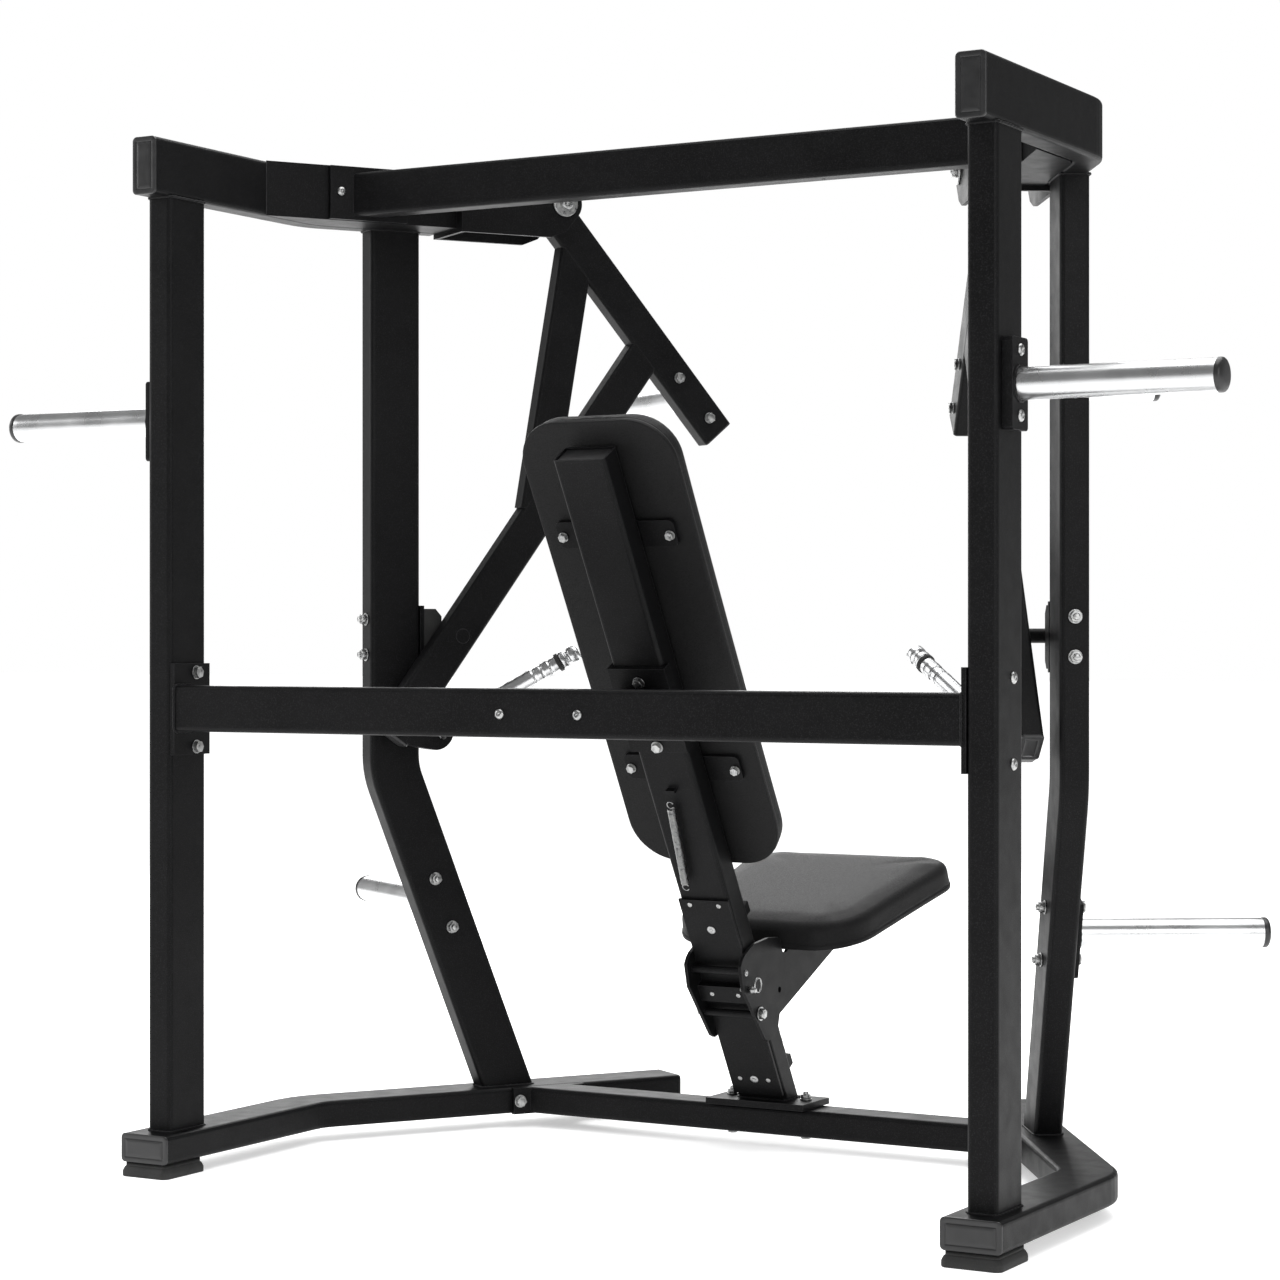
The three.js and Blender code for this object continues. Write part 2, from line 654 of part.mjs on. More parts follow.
function onSeat(geometry) {
  return geometry.rotateX(SEAT_TILT).translate(0, SEAT.rearY, SEAT.rearZ);
}

// The seat is narrower at the back than at the front.
function seatPad() {
  const { length, thickness, rearHalf, frontHalf, rearCorner, frontCorner } = SEAT;
  const outline = roundedOutline([
    [rearHalf - CUSHION_EDGE, CUSHION_EDGE, rearCorner],
    [frontHalf - CUSHION_EDGE, length - CUSHION_EDGE, frontCorner],
    [CUSHION_EDGE - frontHalf, length - CUSHION_EDGE, frontCorner],
    [CUSHION_EDGE - rearHalf, CUSHION_EDGE, rearCorner],
  ]);
  return onSeat(cushion(outline, thickness));
}

const CARRIAGE = {
  innerX: 52,
  outerX: 58,
  barRadius: 7,
  barNormal: -18,
  upperBar: 303,
  lowerBar: 208,
  channel: { rear: -20, front: -6, low: 233, high: 267, wall: 4 },
};
const LATCH = { y: 627, z: 307, radius: 4.5 };

// A rod across the carriage at distance w up the column.
function carriageBar(w) {
  const { innerX, barRadius, barNormal } = CARRIAGE;
  const bar = rod(barRadius, 2 * innerX + 4, 16);
  return onColumn(place(bar, [-innerX - 2, barNormal, w], [0, 1, 0], [0, 0, 1]));
}

// The channel that rides behind the column, its open side towards the column.
function carriageChannel() {
  const { rear, front, low, high, wall } = CARRIAGE.channel;
  const profile = polygon([
    [rear, low], [front, low], [front, low + wall], [rear + wall, low + wall],
    [rear + wall, high - wall], [front, high - wall], [front, high], [rear, high],
  ]);
  const reach = CARRIAGE.innerX + 2;
  return onColumn(place(prism(profile, 2 * reach), [-reach, 0, 0], [0, 1, 0], [0, 0, 1]));
}

// Two side plates joined by bars and a channel behind the column and by the plate under the seat pad.
function seatCarriage() {
  const { innerX, outerX, upperBar, lowerBar } = CARRIAGE;
  const outline = polygon([
    [593, 350], [600, 362], [610, 371], [627, 380], [648, 388], [700, 394], [738, 392], [748, 385], [752, 372],
    [758, 362], [772, 362], [784, 371], [1050, 445], [1056, 430], [1050, 396], [1036, 380], [745, 252],
    [738, 226], [722, 213], [701, 207], [688, 212], [677, 224], [604, 308],
  ]);
  const side = place(prism(outline, outerX - innerX), [innerX, 0, 0], [0, 1, 0], [0, 0, 1]);
  const bore = (radius, y, z) => place(rod(radius, 40, 16), [innerX - 20, y, z], [0, 1, 0], [0, 0, 1]);
  const right = cut(side, bore(LATCH.radius + 0.8, LATCH.y, LATCH.z), bore(6, 744, 296));
  const seatPlate = onSeat(box([-outerX - 50, outerX + 50], [60, 270], [-6 - GAP, -GAP]));
  const crossPieces = [carriageBar(upperBar), carriageBar(lowerBar), carriageChannel(), seatPlate];
  const whole = join(right, mirrored(side), ...crossPieces);
  return cut(whole, onSeat(box([-200, 200], [-3, 500], [-GAP, 80])));
}

// Spring plunger through the right side plate, ending in a pull ring that hangs forward of it.
function pullPin() {
  const along = (x) => [x, LATCH.y, LATCH.z];
  const pin = place(rod(LATCH.radius, 24, 16), along(40), [0, 1, 0], [0, 0, 1]);
  const head = place(rod(6.5, 9, 16), along(CARRIAGE.outerX + 3), [0, 1, 0], [0, 0, 1]);
  const ringCentre = [CARRIAGE.outerX + 10, LATCH.y + 12, LATCH.z + 8];
  const ring = place(new THREE.TorusGeometry(12.5, 2.2, 6, 16), ringCentre, [0, 1, 0], [0, 0, 1]);
  return join(pin, head, ring);
}

// ---- assembly -----------------------------------------------------------------------------------
const BLACK_PAINT = { color: 0x1c1c1e, roughness: 0.55, metalness: 0.2 };
const BLACK_PLASTIC = { color: 0x161617, roughness: 0.45, metalness: 0 };
const RUBBER = { color: 0x121212, roughness: 0.85, metalness: 0 };
const CHROME = { color: 0xd8dadc, roughness: 0.12, metalness: 1 };
const ZINC = { color: 0xb4b6b8, roughness: 0.35, metalness: 0.9 };
const UPHOLSTERY = { color: 0x1a1a1b, roughness: 0.7, metalness: 0 };

const machine = new THREE.Group();
machine.name = 'chest_press_machine';

function add(name, geometry, finish) {
  const plain = bare(geometry).toNonIndexed();
  plain.computeVertexNormals();
  const mesh = new THREE.Mesh(plain, new THREE.MeshStandardMaterial(finish));
  mesh.name = name;
  machine.add(mesh);
}

function addPair(name, geometry, finish) {
  add(`${name}_right`, geometry, finish);
  add(`${name}_left`, mirrored(geometry), finish);
}

const rearFoot = foot().translate(POST_X, 12, 0);
const frontFoot = fromSide(foot().translate(FRONT_C, 640, 0));

addPair('base_tube', baseTube(), BLACK_PAINT);
addPair('base_rear_cap', rearCap(TUBE_WIDE, TUBE_THIN, FOOT_HEIGHT + TUBE_THIN / 2), BLACK_PLASTIC);
addPair('base_front_cap', baseFrontCap(), BLACK_PLASTIC);
addPair('rear_foot', rearFoot, RUBBER);
addPair('front_foot', frontFoot, RUBBER);
addPair('rear_post', rearPost(), BLACK_PAINT);
addPair('front_post', frontPost(), BLACK_PAINT);
addPair('top_tube', topTube(), BLACK_PAINT);
addPair('top_cap', rearCap(TUBE_THIN, TUBE_WIDE, OVERALL_HEIGHT - TUBE_WIDE / 2), BLACK_PLASTIC);
addPair('pivot_beam', pivotBeam(), BLACK_PAINT);
addPair('pivot_shaft', pivotShaft(), ZINC);
add('rear_cross_tube', rearCrossTube(), BLACK_PAINT);
add('top_cross_tube', topCrossTube(), BLACK_PAINT);
add('bottom_cross_tube', bottomCrossTube(), BLACK_PAINT);
addPair('upper_storage_horn', upperHorn(), CHROME);
addPair('upper_horn_cap', upperHornCap(), BLACK_PLASTIC);
addPair('lower_storage_horn', lowerHorn(), CHROME);
addPair('lower_horn_cap', lowerHornCap(), BLACK_PLASTIC);
addPair('stop_plate', stopPlate(), BLACK_PAINT);
addPair('stop_bumper', bumper(), RUBBER);
add('seat_column', seatColumn(), BLACK_PAINT);
add('column_cap', columnCap(), BLACK_PLASTIC);
add('column_strut', columnStrut(), BLACK_PAINT);
add('guide_plate', guidePlate(), BLACK_PAINT);
add('height_rack', rack(), BLACK_PAINT);
add('return_spring', spring(), ZINC);
add('upper_back_bracket', backBracket(1111), BLACK_PAINT);
add('lower_back_bracket', backBracket(708), BLACK_PAINT);
add('backrest_pad', backrestPad(), UPHOLSTERY);
add('seat_carriage', seatCarriage(), BLACK_PAINT);
add('seat_pad', seatPad(), UPHOLSTERY);
add('pull_pin', pullPin(), ZINC);
addPair('arm', armWeldment(), BLACK_PAINT);
addPair('arm_end_cap', armEndCap(), BLACK_PLASTIC);
addPair('loading_horn', loadingHorn(), CHROME);
addPair('loading_horn_cap', loadingHornCap(), BLACK_PLASTIC);
addPair('handle', handle(), CHROME);

// The origin is the middle of the machine's footprint box on the floor.
const extent = new THREE.Box3().setFromObject(machine);
machine.position.y = -(extent.min.y + extent.max.y) / 2;

export default machine;
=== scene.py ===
"""Looks for the seated, plate-loaded chest press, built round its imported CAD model.

Metres, +Z up, the user faces +Y and +X is the user's right. Right-hand pieces are made once and
mirrored in the plane x = 0 for the left.
"""

import json
import math
import random

import bmesh
import bpy
from mathutils import Matrix, Vector
from mathutils.kdtree import KDTree


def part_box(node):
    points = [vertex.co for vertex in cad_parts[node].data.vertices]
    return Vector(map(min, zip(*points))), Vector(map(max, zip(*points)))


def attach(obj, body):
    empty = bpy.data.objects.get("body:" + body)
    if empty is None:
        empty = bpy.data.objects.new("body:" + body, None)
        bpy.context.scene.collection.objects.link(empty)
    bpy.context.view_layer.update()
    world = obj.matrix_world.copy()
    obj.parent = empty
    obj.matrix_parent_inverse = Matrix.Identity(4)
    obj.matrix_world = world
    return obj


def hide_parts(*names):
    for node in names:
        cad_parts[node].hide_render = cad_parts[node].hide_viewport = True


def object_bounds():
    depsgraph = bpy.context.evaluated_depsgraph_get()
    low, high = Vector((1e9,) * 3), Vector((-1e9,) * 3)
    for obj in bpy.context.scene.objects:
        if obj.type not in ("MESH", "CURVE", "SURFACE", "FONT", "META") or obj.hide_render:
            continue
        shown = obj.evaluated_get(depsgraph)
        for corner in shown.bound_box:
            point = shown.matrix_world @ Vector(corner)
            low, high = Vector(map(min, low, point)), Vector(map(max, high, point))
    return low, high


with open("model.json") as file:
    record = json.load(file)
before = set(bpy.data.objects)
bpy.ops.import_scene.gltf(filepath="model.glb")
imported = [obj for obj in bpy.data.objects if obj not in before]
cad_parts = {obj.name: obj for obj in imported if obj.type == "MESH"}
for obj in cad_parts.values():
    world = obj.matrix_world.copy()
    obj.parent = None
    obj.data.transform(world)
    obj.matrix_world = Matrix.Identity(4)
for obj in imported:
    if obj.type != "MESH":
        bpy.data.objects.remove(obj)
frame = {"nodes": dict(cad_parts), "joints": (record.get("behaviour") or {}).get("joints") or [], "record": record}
cad_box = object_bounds()

MM = 0.001
SIDES = (("right", 1), ("left", -1))
X, Y, Z = Vector((1, 0, 0)), Vector((0, 1, 0)), Vector((0, 0, 1))

# ---- places taken from the frame ------------------------------------------------------------
JOINTS = {joint["name"]: joint for joint in frame["joints"]}
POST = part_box("rear_post_right")
POST_REAR = POST[0][1]
POST_INNER, POST_OUTER = POST[0][0], POST[1][0]
OUTWARD = Vector(JOINTS["right_press"]["axis"])  # the toed-in side frame: outward, along, up
ALONG = Z.cross(OUTWARD)
COLUMN_UP = Vector(JOINTS["seat_height"]["axis"])
COLUMN_FRONT = X.cross(COLUMN_UP) * -1
COLUMN_FOOT = Vector((0, POST_REAR + 0.7847, 0.087))
TOP = cad_box[1][2]

HALF_TUBE = 0.05  # half the wide side of the frame's one rectangular tube, 100 x 50
FRONT_C = 0.891  # centre line of the toed-in front halves
GAP = 0.0003
ARM_C = 818  # centre line of the arms, outward in the side frame, in millimetres


def side_point(c, s, z):
    """A point given in the side frame: outward, along and up, in millimetres."""
    origin = Vector((0, POST_REAR, 0))
    return origin + (OUTWARD * c + ALONG * s + Z * z) * MM


def column_point(x, normal, up):
    """A point on the seat column: across, forward of its rear face and up along it, in millimetres."""
    return COLUMN_FOOT + (X * x + COLUMN_FRONT * normal + COLUMN_UP * up) * MM


def basis(origin, x_axis, z_axis):
    """Matrix that carries local x and z to these directions and the local origin to a point."""
    z_axis = Vector(z_axis).normalized()
    x_axis = (Vector(x_axis) - z_axis * z_axis.dot(x_axis)).normalized()
    y_axis = z_axis.cross(x_axis)
    matrix = Matrix((x_axis, y_axis, z_axis)).transposed().to_4x4()
    matrix.translation = origin
    return matrix


# ---- mesh building --------------------------------------------------------------------------
class Shape:
    """Vertices in metres and faces, gathered before they become one object."""

    def __init__(self, vertices=(), faces=()):
        self.vertices = [Vector(v) for v in vertices]
        self.faces = [tuple(f) for f in faces]

    def add(self, other, matrix=None):
        start = len(self.vertices)
        self.vertices += [matrix @ v if matrix else v.copy() for v in other.vertices]
        self.faces += [tuple(i + start for i in face) for face in other.faces]
        return self

    def moved(self, matrix):
        return Shape([matrix @ v for v in self.vertices], self.faces)


def skin(rings, closed=False):
    """Joins rings of points into a solid, with a flat face on each end unless it closes on itself."""
    count = len(rings[0])
    shape = Shape([point for ring in rings for point in ring])
    spans = len(rings) if closed else len(rings) - 1
    for i in range(spans):
        a, b = i * count, ((i + 1) % len(rings)) * count
        for j in range(count):
            k = (j + 1) % count
            shape.faces.append((a + j, a + k, b + k, b + j))
    if not closed:
        shape.faces.append(tuple(reversed(range(count))))
        last = (len(rings) - 1) * count
        shape.faces.append(tuple(range(last, last + count)))
    return shape


def rounded_ring(width, height, radius, level=0.0, corner_steps=6):
    """Rounded rectangle centred on the local origin, in millimetres, as points in metres."""
    ring = []
    corners = ((1, 1, 0), (-1, 1, 90), (-1, -1, 180), (1, -1, 270))
    for sign_x, sign_y, start in corners:
        for i in range(corner_steps + 1):
            angle = math.radians(start + 90 * i / corner_steps)
            x = sign_x * (width / 2 - radius) + radius * math.cos(angle)
            y = sign_y * (height / 2 - radius) + radius * math.sin(angle)
            ring.append(Vector((x, y, level)) * MM)
    return ring


def terraces(width, height, radius, steps):
    """Solid of rounded rectangles, each given as (inset, level) in millimetres."""
    rings = []
    for inset, level in steps:
        corner = max(radius - inset, 1.0)
        rings.append(rounded_ring(width - 2 * inset, height - 2 * inset, corner, level))
    return skin(rings)


def turned(profile, segments):
    """Solid of revolution about local z from (radius, level) pairs in millimetres."""
    rings = []
    for radius, level in profile:
        ring = []
        for i in range(segments):
            angle = math.tau * i / segments
            ring.append(Vector((radius * math.cos(angle), radius * math.sin(angle), level)) * MM)
        rings.append(ring)
    return skin(rings)


def sweep(section, path, closed=False):
    """Carries a ring of local (x, y) points along a path without twisting it."""
    count = len(path)
    tangents = []
    for i in range(count):
        before = path[i - 1] if closed or i else path[0]
        after = path[(i + 1) % count] if closed or i < count - 1 else path[-1]
        tangents.append((after - before).normalized())
    normal = tangents[0].orthogonal().normalized()
    rings = []
    for i, point in enumerate(path):
        if i:
            normal = tangents[i - 1].rotation_difference(tangents[i]) @ normal
        binormal = tangents[i].cross(normal)
        rings.append([point + normal * p.x + binormal * p.y for p in section])
    return skin(rings, closed)


def circle(radius, segments):
    """Ring of local points, radius in millimetres."""
    steps = (math.tau * i / segments for i in range(segments))
    return [Vector((math.cos(a), math.sin(a), 0)) * radius * MM for a in steps]


def plate(outline, depth):
    """Flat plate from a local (x, y) outline, thickened along +z. Millimetres."""
    low = [Vector((x, y, 0)) * MM for x, y in outline]
    high = [Vector((x, y, depth)) * MM for x, y in outline]
    return skin([low, high])


def make(name, shape, material, body, slot, side=1, bevel=0.0, replaces=()):
    """Turns a shape into a named, shaded object that rides on a body."""
    mesh = bpy.data.meshes.new(name)
    points = [Vector((v.x * side, v.y, v.z)) for v in shape.vertices]
    mesh.from_pydata(points, [], shape.faces)
    build = bmesh.new()
    build.from_mesh(mesh)
    bmesh.ops.recalc_face_normals(build, faces=build.faces)
    build.to_mesh(mesh)
    build.free()
    mesh.polygons.foreach_set("use_smooth", [True] * len(mesh.polygons))
    piece = bpy.data.objects.new(name, mesh)
    bpy.context.collection.objects.link(piece)
    mesh.materials.append(material)
    finish_edges(piece, bevel)
    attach(piece, body)
    if replaces:
        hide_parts(*replaces)
    return piece


def finish_edges(piece, bevel):
    """Rounds the sharp edges by bevel millimetres and keeps the flat faces flat in the shading."""
    if bevel:
        rounding = piece.modifiers.new("edges", "BEVEL")
        rounding.width = bevel * MM
        rounding.segments = 2
        rounding.limit_method = "ANGLE"
        rounding.angle_limit = math.radians(40)
    shading = piece.modifiers.new("shading", "WEIGHTED_NORMAL")
    shading.weight = 80
    shading.keep_sharp = True


def both(name, shape, material, body, replaces=(), **options):
    """Makes a right-hand piece and its mirror image. {} in body or replaces stands for the side."""
    for label, sign in SIDES:
        make(
            f"{name}_{label}", shape, material, body.format(label), side=sign,
            replaces=[node.format(label) for node in replaces], **options,
        )


# ---- materials ------------------------------------------------------------------------------
class Nodes:
    """Short hand for building a material's node tree."""

    def __init__(self, name):
        self.material = bpy.data.materials.new(name)
        self.material.use_nodes = True
        self.tree = self.material.node_tree
        self.shader = self.tree.nodes["Principled BSDF"]
        self.coordinates = self.add("ShaderNodeTexCoord").outputs["Object"]

    def add(self, kind, **values):
        node = self.tree.nodes.new(kind)
        for key, value in values.items():
            setattr(node, key, value)
        return node

    def link(self, source, target):
        self.tree.links.new(source, target)

    def noise(self, scale, detail):
        node = self.add("ShaderNodeTexNoise")
        node.inputs["Scale"].default_value = scale
        node.inputs["Detail"].default_value = detail
        self.link(self.coordinates, node.inputs["Vector"])
        return node.outputs["Fac"]

    def cells(self, scale):
        node = self.add("ShaderNodeTexVoronoi", feature="F1")
        node.inputs["Scale"].default_value = scale
        self.link(self.coordinates, node.inputs["Vector"])
        return node.outputs["Distance"]

    def spread(self, source, low, high, from_low=0.3, from_high=0.7):
        node = self.add("ShaderNodeMapRange")
        node.inputs["From Min"].default_value = from_low
        node.inputs["From Max"].default_value = from_high
        node.inputs["To Min"].default_value = low
        node.inputs["To Max"].default_value = high
        self.link(source, node.inputs["Value"])
        return node.outputs["Result"]

    def mix(self, factor, dark, light):
        node = self.add("ShaderNodeMix", data_type="RGBA")
        self.link(factor, node.inputs["Factor"])
        for socket, value in (("A", dark), ("B", light)):
            target = next(s for s in node.inputs if s.name == socket and s.type == "RGBA")
            if hasattr(value, "is_output"):
                self.link(value, target)
            else:
                target.default_value = (*value, 1)
        return next(s for s in node.outputs if s.type == "RGBA")

    def bump(self, height, strength, distance, under=None):
        node = self.add("ShaderNodeBump")
        node.inputs["Strength"].default_value = strength
        node.inputs["Distance"].default_value = distance * MM
        self.link(height, node.inputs["Height"])
        if under:
            self.link(under, node.inputs["Normal"])
        return node.outputs["Normal"]

    def edge_mask(self, radius):
        """1 along convex edges, where the wear and the painted highlight go, 0 on flat faces."""
        bevel = self.add("ShaderNodeBevel", samples=4)
        bevel.inputs["Radius"].default_value = radius * MM
        geometry = self.add("ShaderNodeNewGeometry")
        dot = self.add("ShaderNodeVectorMath", operation="DOT_PRODUCT")
        self.link(bevel.outputs["Normal"], dot.inputs[0])
        self.link(geometry.outputs["True Normal"], dot.inputs[1])
        return self.spread(dot.outputs["Value"], 1.0, 0.0, 0.86, 0.995)

    def finish(self, color=None, roughness=None, normal=None, **values):
        for socket, source in (("Base Color", color), ("Roughness", roughness), ("Normal", normal)):
            if source:
                self.link(source, self.shader.inputs[socket])
        for key, value in values.items():
            self.shader.inputs[key.replace("_", " ").title().replace("Ior", "IOR")].default_value = value
        return self.material


def powder_coat():
    """Fine-texture black powder coat on steel, lighter along its edges: a little polished where hands and plates
    rub them, and a painted highlight along the rounded edges.
    """
    n = Nodes("powder_coat")
    grain = n.noise(620, 3)
    dust = n.noise(9, 5)
    base = n.mix(n.spread(dust, 0, 1), (0.0022, 0.0022, 0.0024), (0.0038, 0.0038, 0.0041))
    speckled = n.mix(n.spread(grain, 0, 1, 0.52, 0.72), base, (0.013, 0.013, 0.0136))
    # Convex edges lightened in noisy patches: partly wear where hands and plates rub, partly a painted highlight
    # along the rounded edges.
    edge_wear_and_highlight = n.add("ShaderNodeMath", operation="MULTIPLY")
    n.link(n.edge_mask(1.6), edge_wear_and_highlight.inputs[0])
    n.link(n.spread(n.noise(35, 6), 0.1, 0.75), edge_wear_and_highlight.inputs[1])
    color = n.mix(edge_wear_and_highlight.outputs["Value"], speckled, (0.040, 0.040, 0.042))
    roughness = n.spread(n.noise(30, 4), 0.40, 0.48)
    normal = n.bump(grain, 0.5, 0.25)
    return n.finish(color, roughness, normal, specular_ior_level=0.10)


def moulded_plastic():
    """Moulded black plastic of the tube caps and horn ends."""
    n = Nodes("moulded_plastic")
    color = n.mix(n.spread(n.noise(14, 4), 0, 1), (0.008, 0.008, 0.0085), (0.013, 0.013, 0.0135))
    roughness = n.spread(n.noise(60, 5), 0.30, 0.44)
    return n.finish(color, roughness, n.bump(n.noise(2200, 2), 0.18, 0.08))


def foot_rubber():
    """Matt rubber of the feet and stop bumpers, greyed by dust in its pores."""
    n = Nodes("foot_rubber")
    pores = n.noise(700, 4)
    color = n.mix(n.spread(n.noise(22, 6), 0, 1), (0.007, 0.007, 0.007), (0.016, 0.016, 0.0155))
    return n.finish(color, n.spread(pores, 0.62, 0.82), n.bump(pores, 0.4, 0.2))


def chrome():
    """Bright chrome plate with faint drawn lines and handling haze."""
    n = Nodes("chrome_plate")
    haze = n.noise(18, 5)
    color = n.mix(n.spread(haze, 0, 1), (0.56, 0.565, 0.57), (0.66, 0.665, 0.67))
    roughness = n.spread(haze, 0.25, 0.33)
    return n.finish(color, roughness, n.bump(n.noise(900, 3), 0.02, 0.02), metallic=1.0)


def zinc():
    """Zinc-plated steel of the bolts, slightly mottled."""
    n = Nodes("zinc_plate")
    mottle = n.noise(160, 5)
    color = n.mix(n.spread(mottle, 0, 1), (0.26, 0.265, 0.27), (0.50, 0.50, 0.49))
    return n.finish(color, n.spread(mottle, 0.24, 0.42), n.bump(n.noise(1300, 3), 0.15, 0.08), metallic=1.0)


def upholstery():
    """Black synthetic leather with a pebbled grain over foam."""
    n = Nodes("upholstery")
    pebbles = n.cells(620)
    fine = n.noise(1100, 3)
    tone = n.noise(7, 5)
    base = n.mix(n.spread(tone, 0, 1), (0.007, 0.007, 0.0073), (0.0095, 0.0095, 0.0098))
    color = n.mix(n.spread(pebbles, 0, 1, 0.15, 0.75), base, (0.0035, 0.0035, 0.0037))
    roughness = n.spread(n.noise(400, 3), 0.48, 0.62)
    rough_skin = n.bump(fine, 0.45, 0.2)
    inverted = n.spread(pebbles, 1, 0, 0, 0.9)
    normal = n.bump(inverted, 0.75, 0.35, rough_skin)
    return n.finish(color, roughness, normal, sheen_weight=0.02, specular_ior_level=0.14)


PAINT, PLASTIC, RUBBER = powder_coat(), moulded_plastic(), foot_rubber()
CHROME, ZINC, VINYL = chrome(), zinc(), upholstery()
MATERIALS = {
    "frame_paint": PAINT, "end_plastic": PLASTIC, "foot_rubber": RUBBER,
    "chrome": CHROME, "zinc": ZINC, "upholstery": VINYL,
}


def dress_cad_nodes():
    """Every CAD node that stays in view gets its slot's material, merged flats and softened edges."""
    slots = {part["node"]: part["material_slot"] for part in frame["record"]["subparts"]}
    tubes = ("base_tube", "rear_post", "front_post", "top_tube")
    for name, node in frame["nodes"].items():
        node.data.materials.clear()
        node.data.materials.append(MATERIALS[slots[name]])
        node.data.polygons.foreach_set("use_smooth", [True] * len(node.data.polygons))
        merge = node.modifiers.new("flats", "DECIMATE")
        merge.decimate_type = "DISSOLVE"
        merge.angle_limit = math.radians(1)
        finish_edges(node, 0.0 if name.startswith(tubes) else 1.2)


# ---- fasteners ------------------------------------------------------------------------------
WASHER = 2.4  # thickness of every washer, in millimetres


def hexagon(across_flats, level):
    """Ring of the six corners of a nut at one level."""
    radius = across_flats / math.sqrt(3)
    points = []
    for i in range(6):
        angle = math.radians(60 * i)
        points.append(Vector((radius * math.cos(angle), radius * math.sin(angle), level)) * MM)
    return points


def flat_washer(diameter):
    """Washer lying on local z = 0."""
    radius, edge = diameter / 2, 0.6
    return turned([(radius - edge, 0), (radius, edge), (radius, WASHER - 0.5), (radius - edge, WASHER)], 28)


def bolt_head(across_flats=18, washer=24):
    """Hexagon head on a washer, standing on local z = 0."""
    height = across_flats * 0.42
    shape = flat_washer(washer)
    low, top = WASHER, WASHER + height
    shape.add(skin([
        hexagon(across_flats, low), hexagon(across_flats, top - 1.0), hexagon(across_flats * 0.9, top),
    ]))
    boss = [(across_flats * 0.36, top - 0.3), (across_flats * 0.34, top + 0.25), (0.5, top + 0.25)]
    shape.add(turned(boss, 24))
    return shape


def nut(across_flats=18, washer=24):
    """Nut and washer with the bolt's thread standing out of it."""
    height = across_flats * 0.5
    shape = flat_washer(washer)
    top = WASHER + height
    shape.add(skin([
        hexagon(across_flats * 0.94, WASHER), hexagon(across_flats, WASHER + 0.8),
        hexagon(across_flats, top - 1.0), hexagon(across_flats * 0.9, top),
    ]))
    radius = across_flats / 3
    thread = [(radius, top - 1)]
    for i in range(4):
        thread += [(radius, top + i * 1.1), (radius - 0.6, top + i * 1.1 + 0.55)]
    shape.add(turned(thread + [(radius - 1, top + 4.8), (0.5, top + 4.8)], 20))
    return shape


def socket_screw(diameter):
    """Low countersunk head with a hexagon socket."""
    r = diameter / 2
    return turned([
        (r, 0), (r, 0.5), (r * 0.86, 1.3), (r * 0.5, 1.5), (r * 0.42, 1.4), (r * 0.4, 0.5), (0.4, 0.4),
    ], 28)


def button_head(diameter):
    """Low domed screw head with a socket in it."""
    r = diameter / 2
    return turned([
        (r, 0), (r, 0.8), (r * 0.95, 2.0), (r * 0.8, 3.6), (r * 0.6, 4.6), (r * 0.46, 4.9),
        (r * 0.42, 4.6), (r * 0.40, 2.0), (0.4, 1.8),
    ], 32)


def fasteners(name, kind, places, body, side=1):
    """One group of equal fasteners. places holds (point, outward direction) pairs."""
    shape = Shape()
    turns = random.Random(name)
    for point, direction in places:
        direction = Vector(direction).normalized()
        matrix = basis(point, direction.orthogonal(), direction)
        shape.add(kind, matrix @ Matrix.Rotation(turns.uniform(0, math.tau), 4, "Z"))
    make(name, shape, ZINC, body, slot="zinc", side=side)


def fastener_pair(name, kind, places, body):
    """A group of fasteners on the right and its mirror image on the left."""
    for label, sign in SIDES:
        fasteners(f"{name}_{label}", kind, places, body.format(label), sign)


def frame_fasteners():
    """Bolts and nuts of the flanges, the storage horns, the support arm and the stops."""
    head, screw_nut = bolt_head(), nut()
    rear_levels = (745.5, 876)
    inner = [(Vector((POST_INNER - 8 * MM, POST_REAR + 0.062, z * MM)), -X) for z in rear_levels]
    outer = [(Vector((POST_OUTER, POST_REAR + 0.062, z * MM)), X) for z in rear_levels]
    fastener_pair("rear_flange_bolts", head, inner, "frame")
    fastener_pair("rear_flange_screws", button_head(19), outer, "frame")
    tube_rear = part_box("rear_cross_tube")[0][1]
    column_arm = [(Vector((x, tube_rear, 0.812)), -Y) for x in (-0.074, 0.074)]
    fasteners("column_arm_bolts", button_head(17), column_arm, "frame")
    top = [(side_point(770, s, 1758), -OUTWARD) for s in (-35, 75)]
    fastener_pair("top_flange_bolts", button_head(17), top, "frame")
    bottom = [(side_point(829, s, 50), -OUTWARD) for s in (355, 480)]
    fastener_pair("bottom_flange_bolts", head, bottom, "frame")
    bottom_outer = [(side_point(941, s, 50), OUTWARD) for s in (355, 480)]
    fastener_pair("bottom_flange_nuts", screw_nut, bottom_outer, "frame")
    face = POST_OUTER + 18.3 * MM
    upper = [(Vector((face, POST_REAR + 0.046, z * MM)), X) for z in (1269, 1368)]
    fastener_pair("upper_horn_bolts", button_head(19), upper, "frame")
    lower = [(194, 479), (229, 386)]
    lower_inner = [(side_point(866, s, z), -OUTWARD) for s, z in lower]
    lower_outer = [(side_point(924.3, s, z), OUTWARD) for s, z in lower]
    fastener_pair("lower_horn_nuts", screw_nut, lower_inner, "frame")
    fastener_pair("lower_horn_bolts", head, lower_outer, "frame")
    stops = [(side_point(891, 63, z), -ALONG) for z in (972, 905)]
    fastener_pair("stop_nuts", screw_nut, stops, "frame")


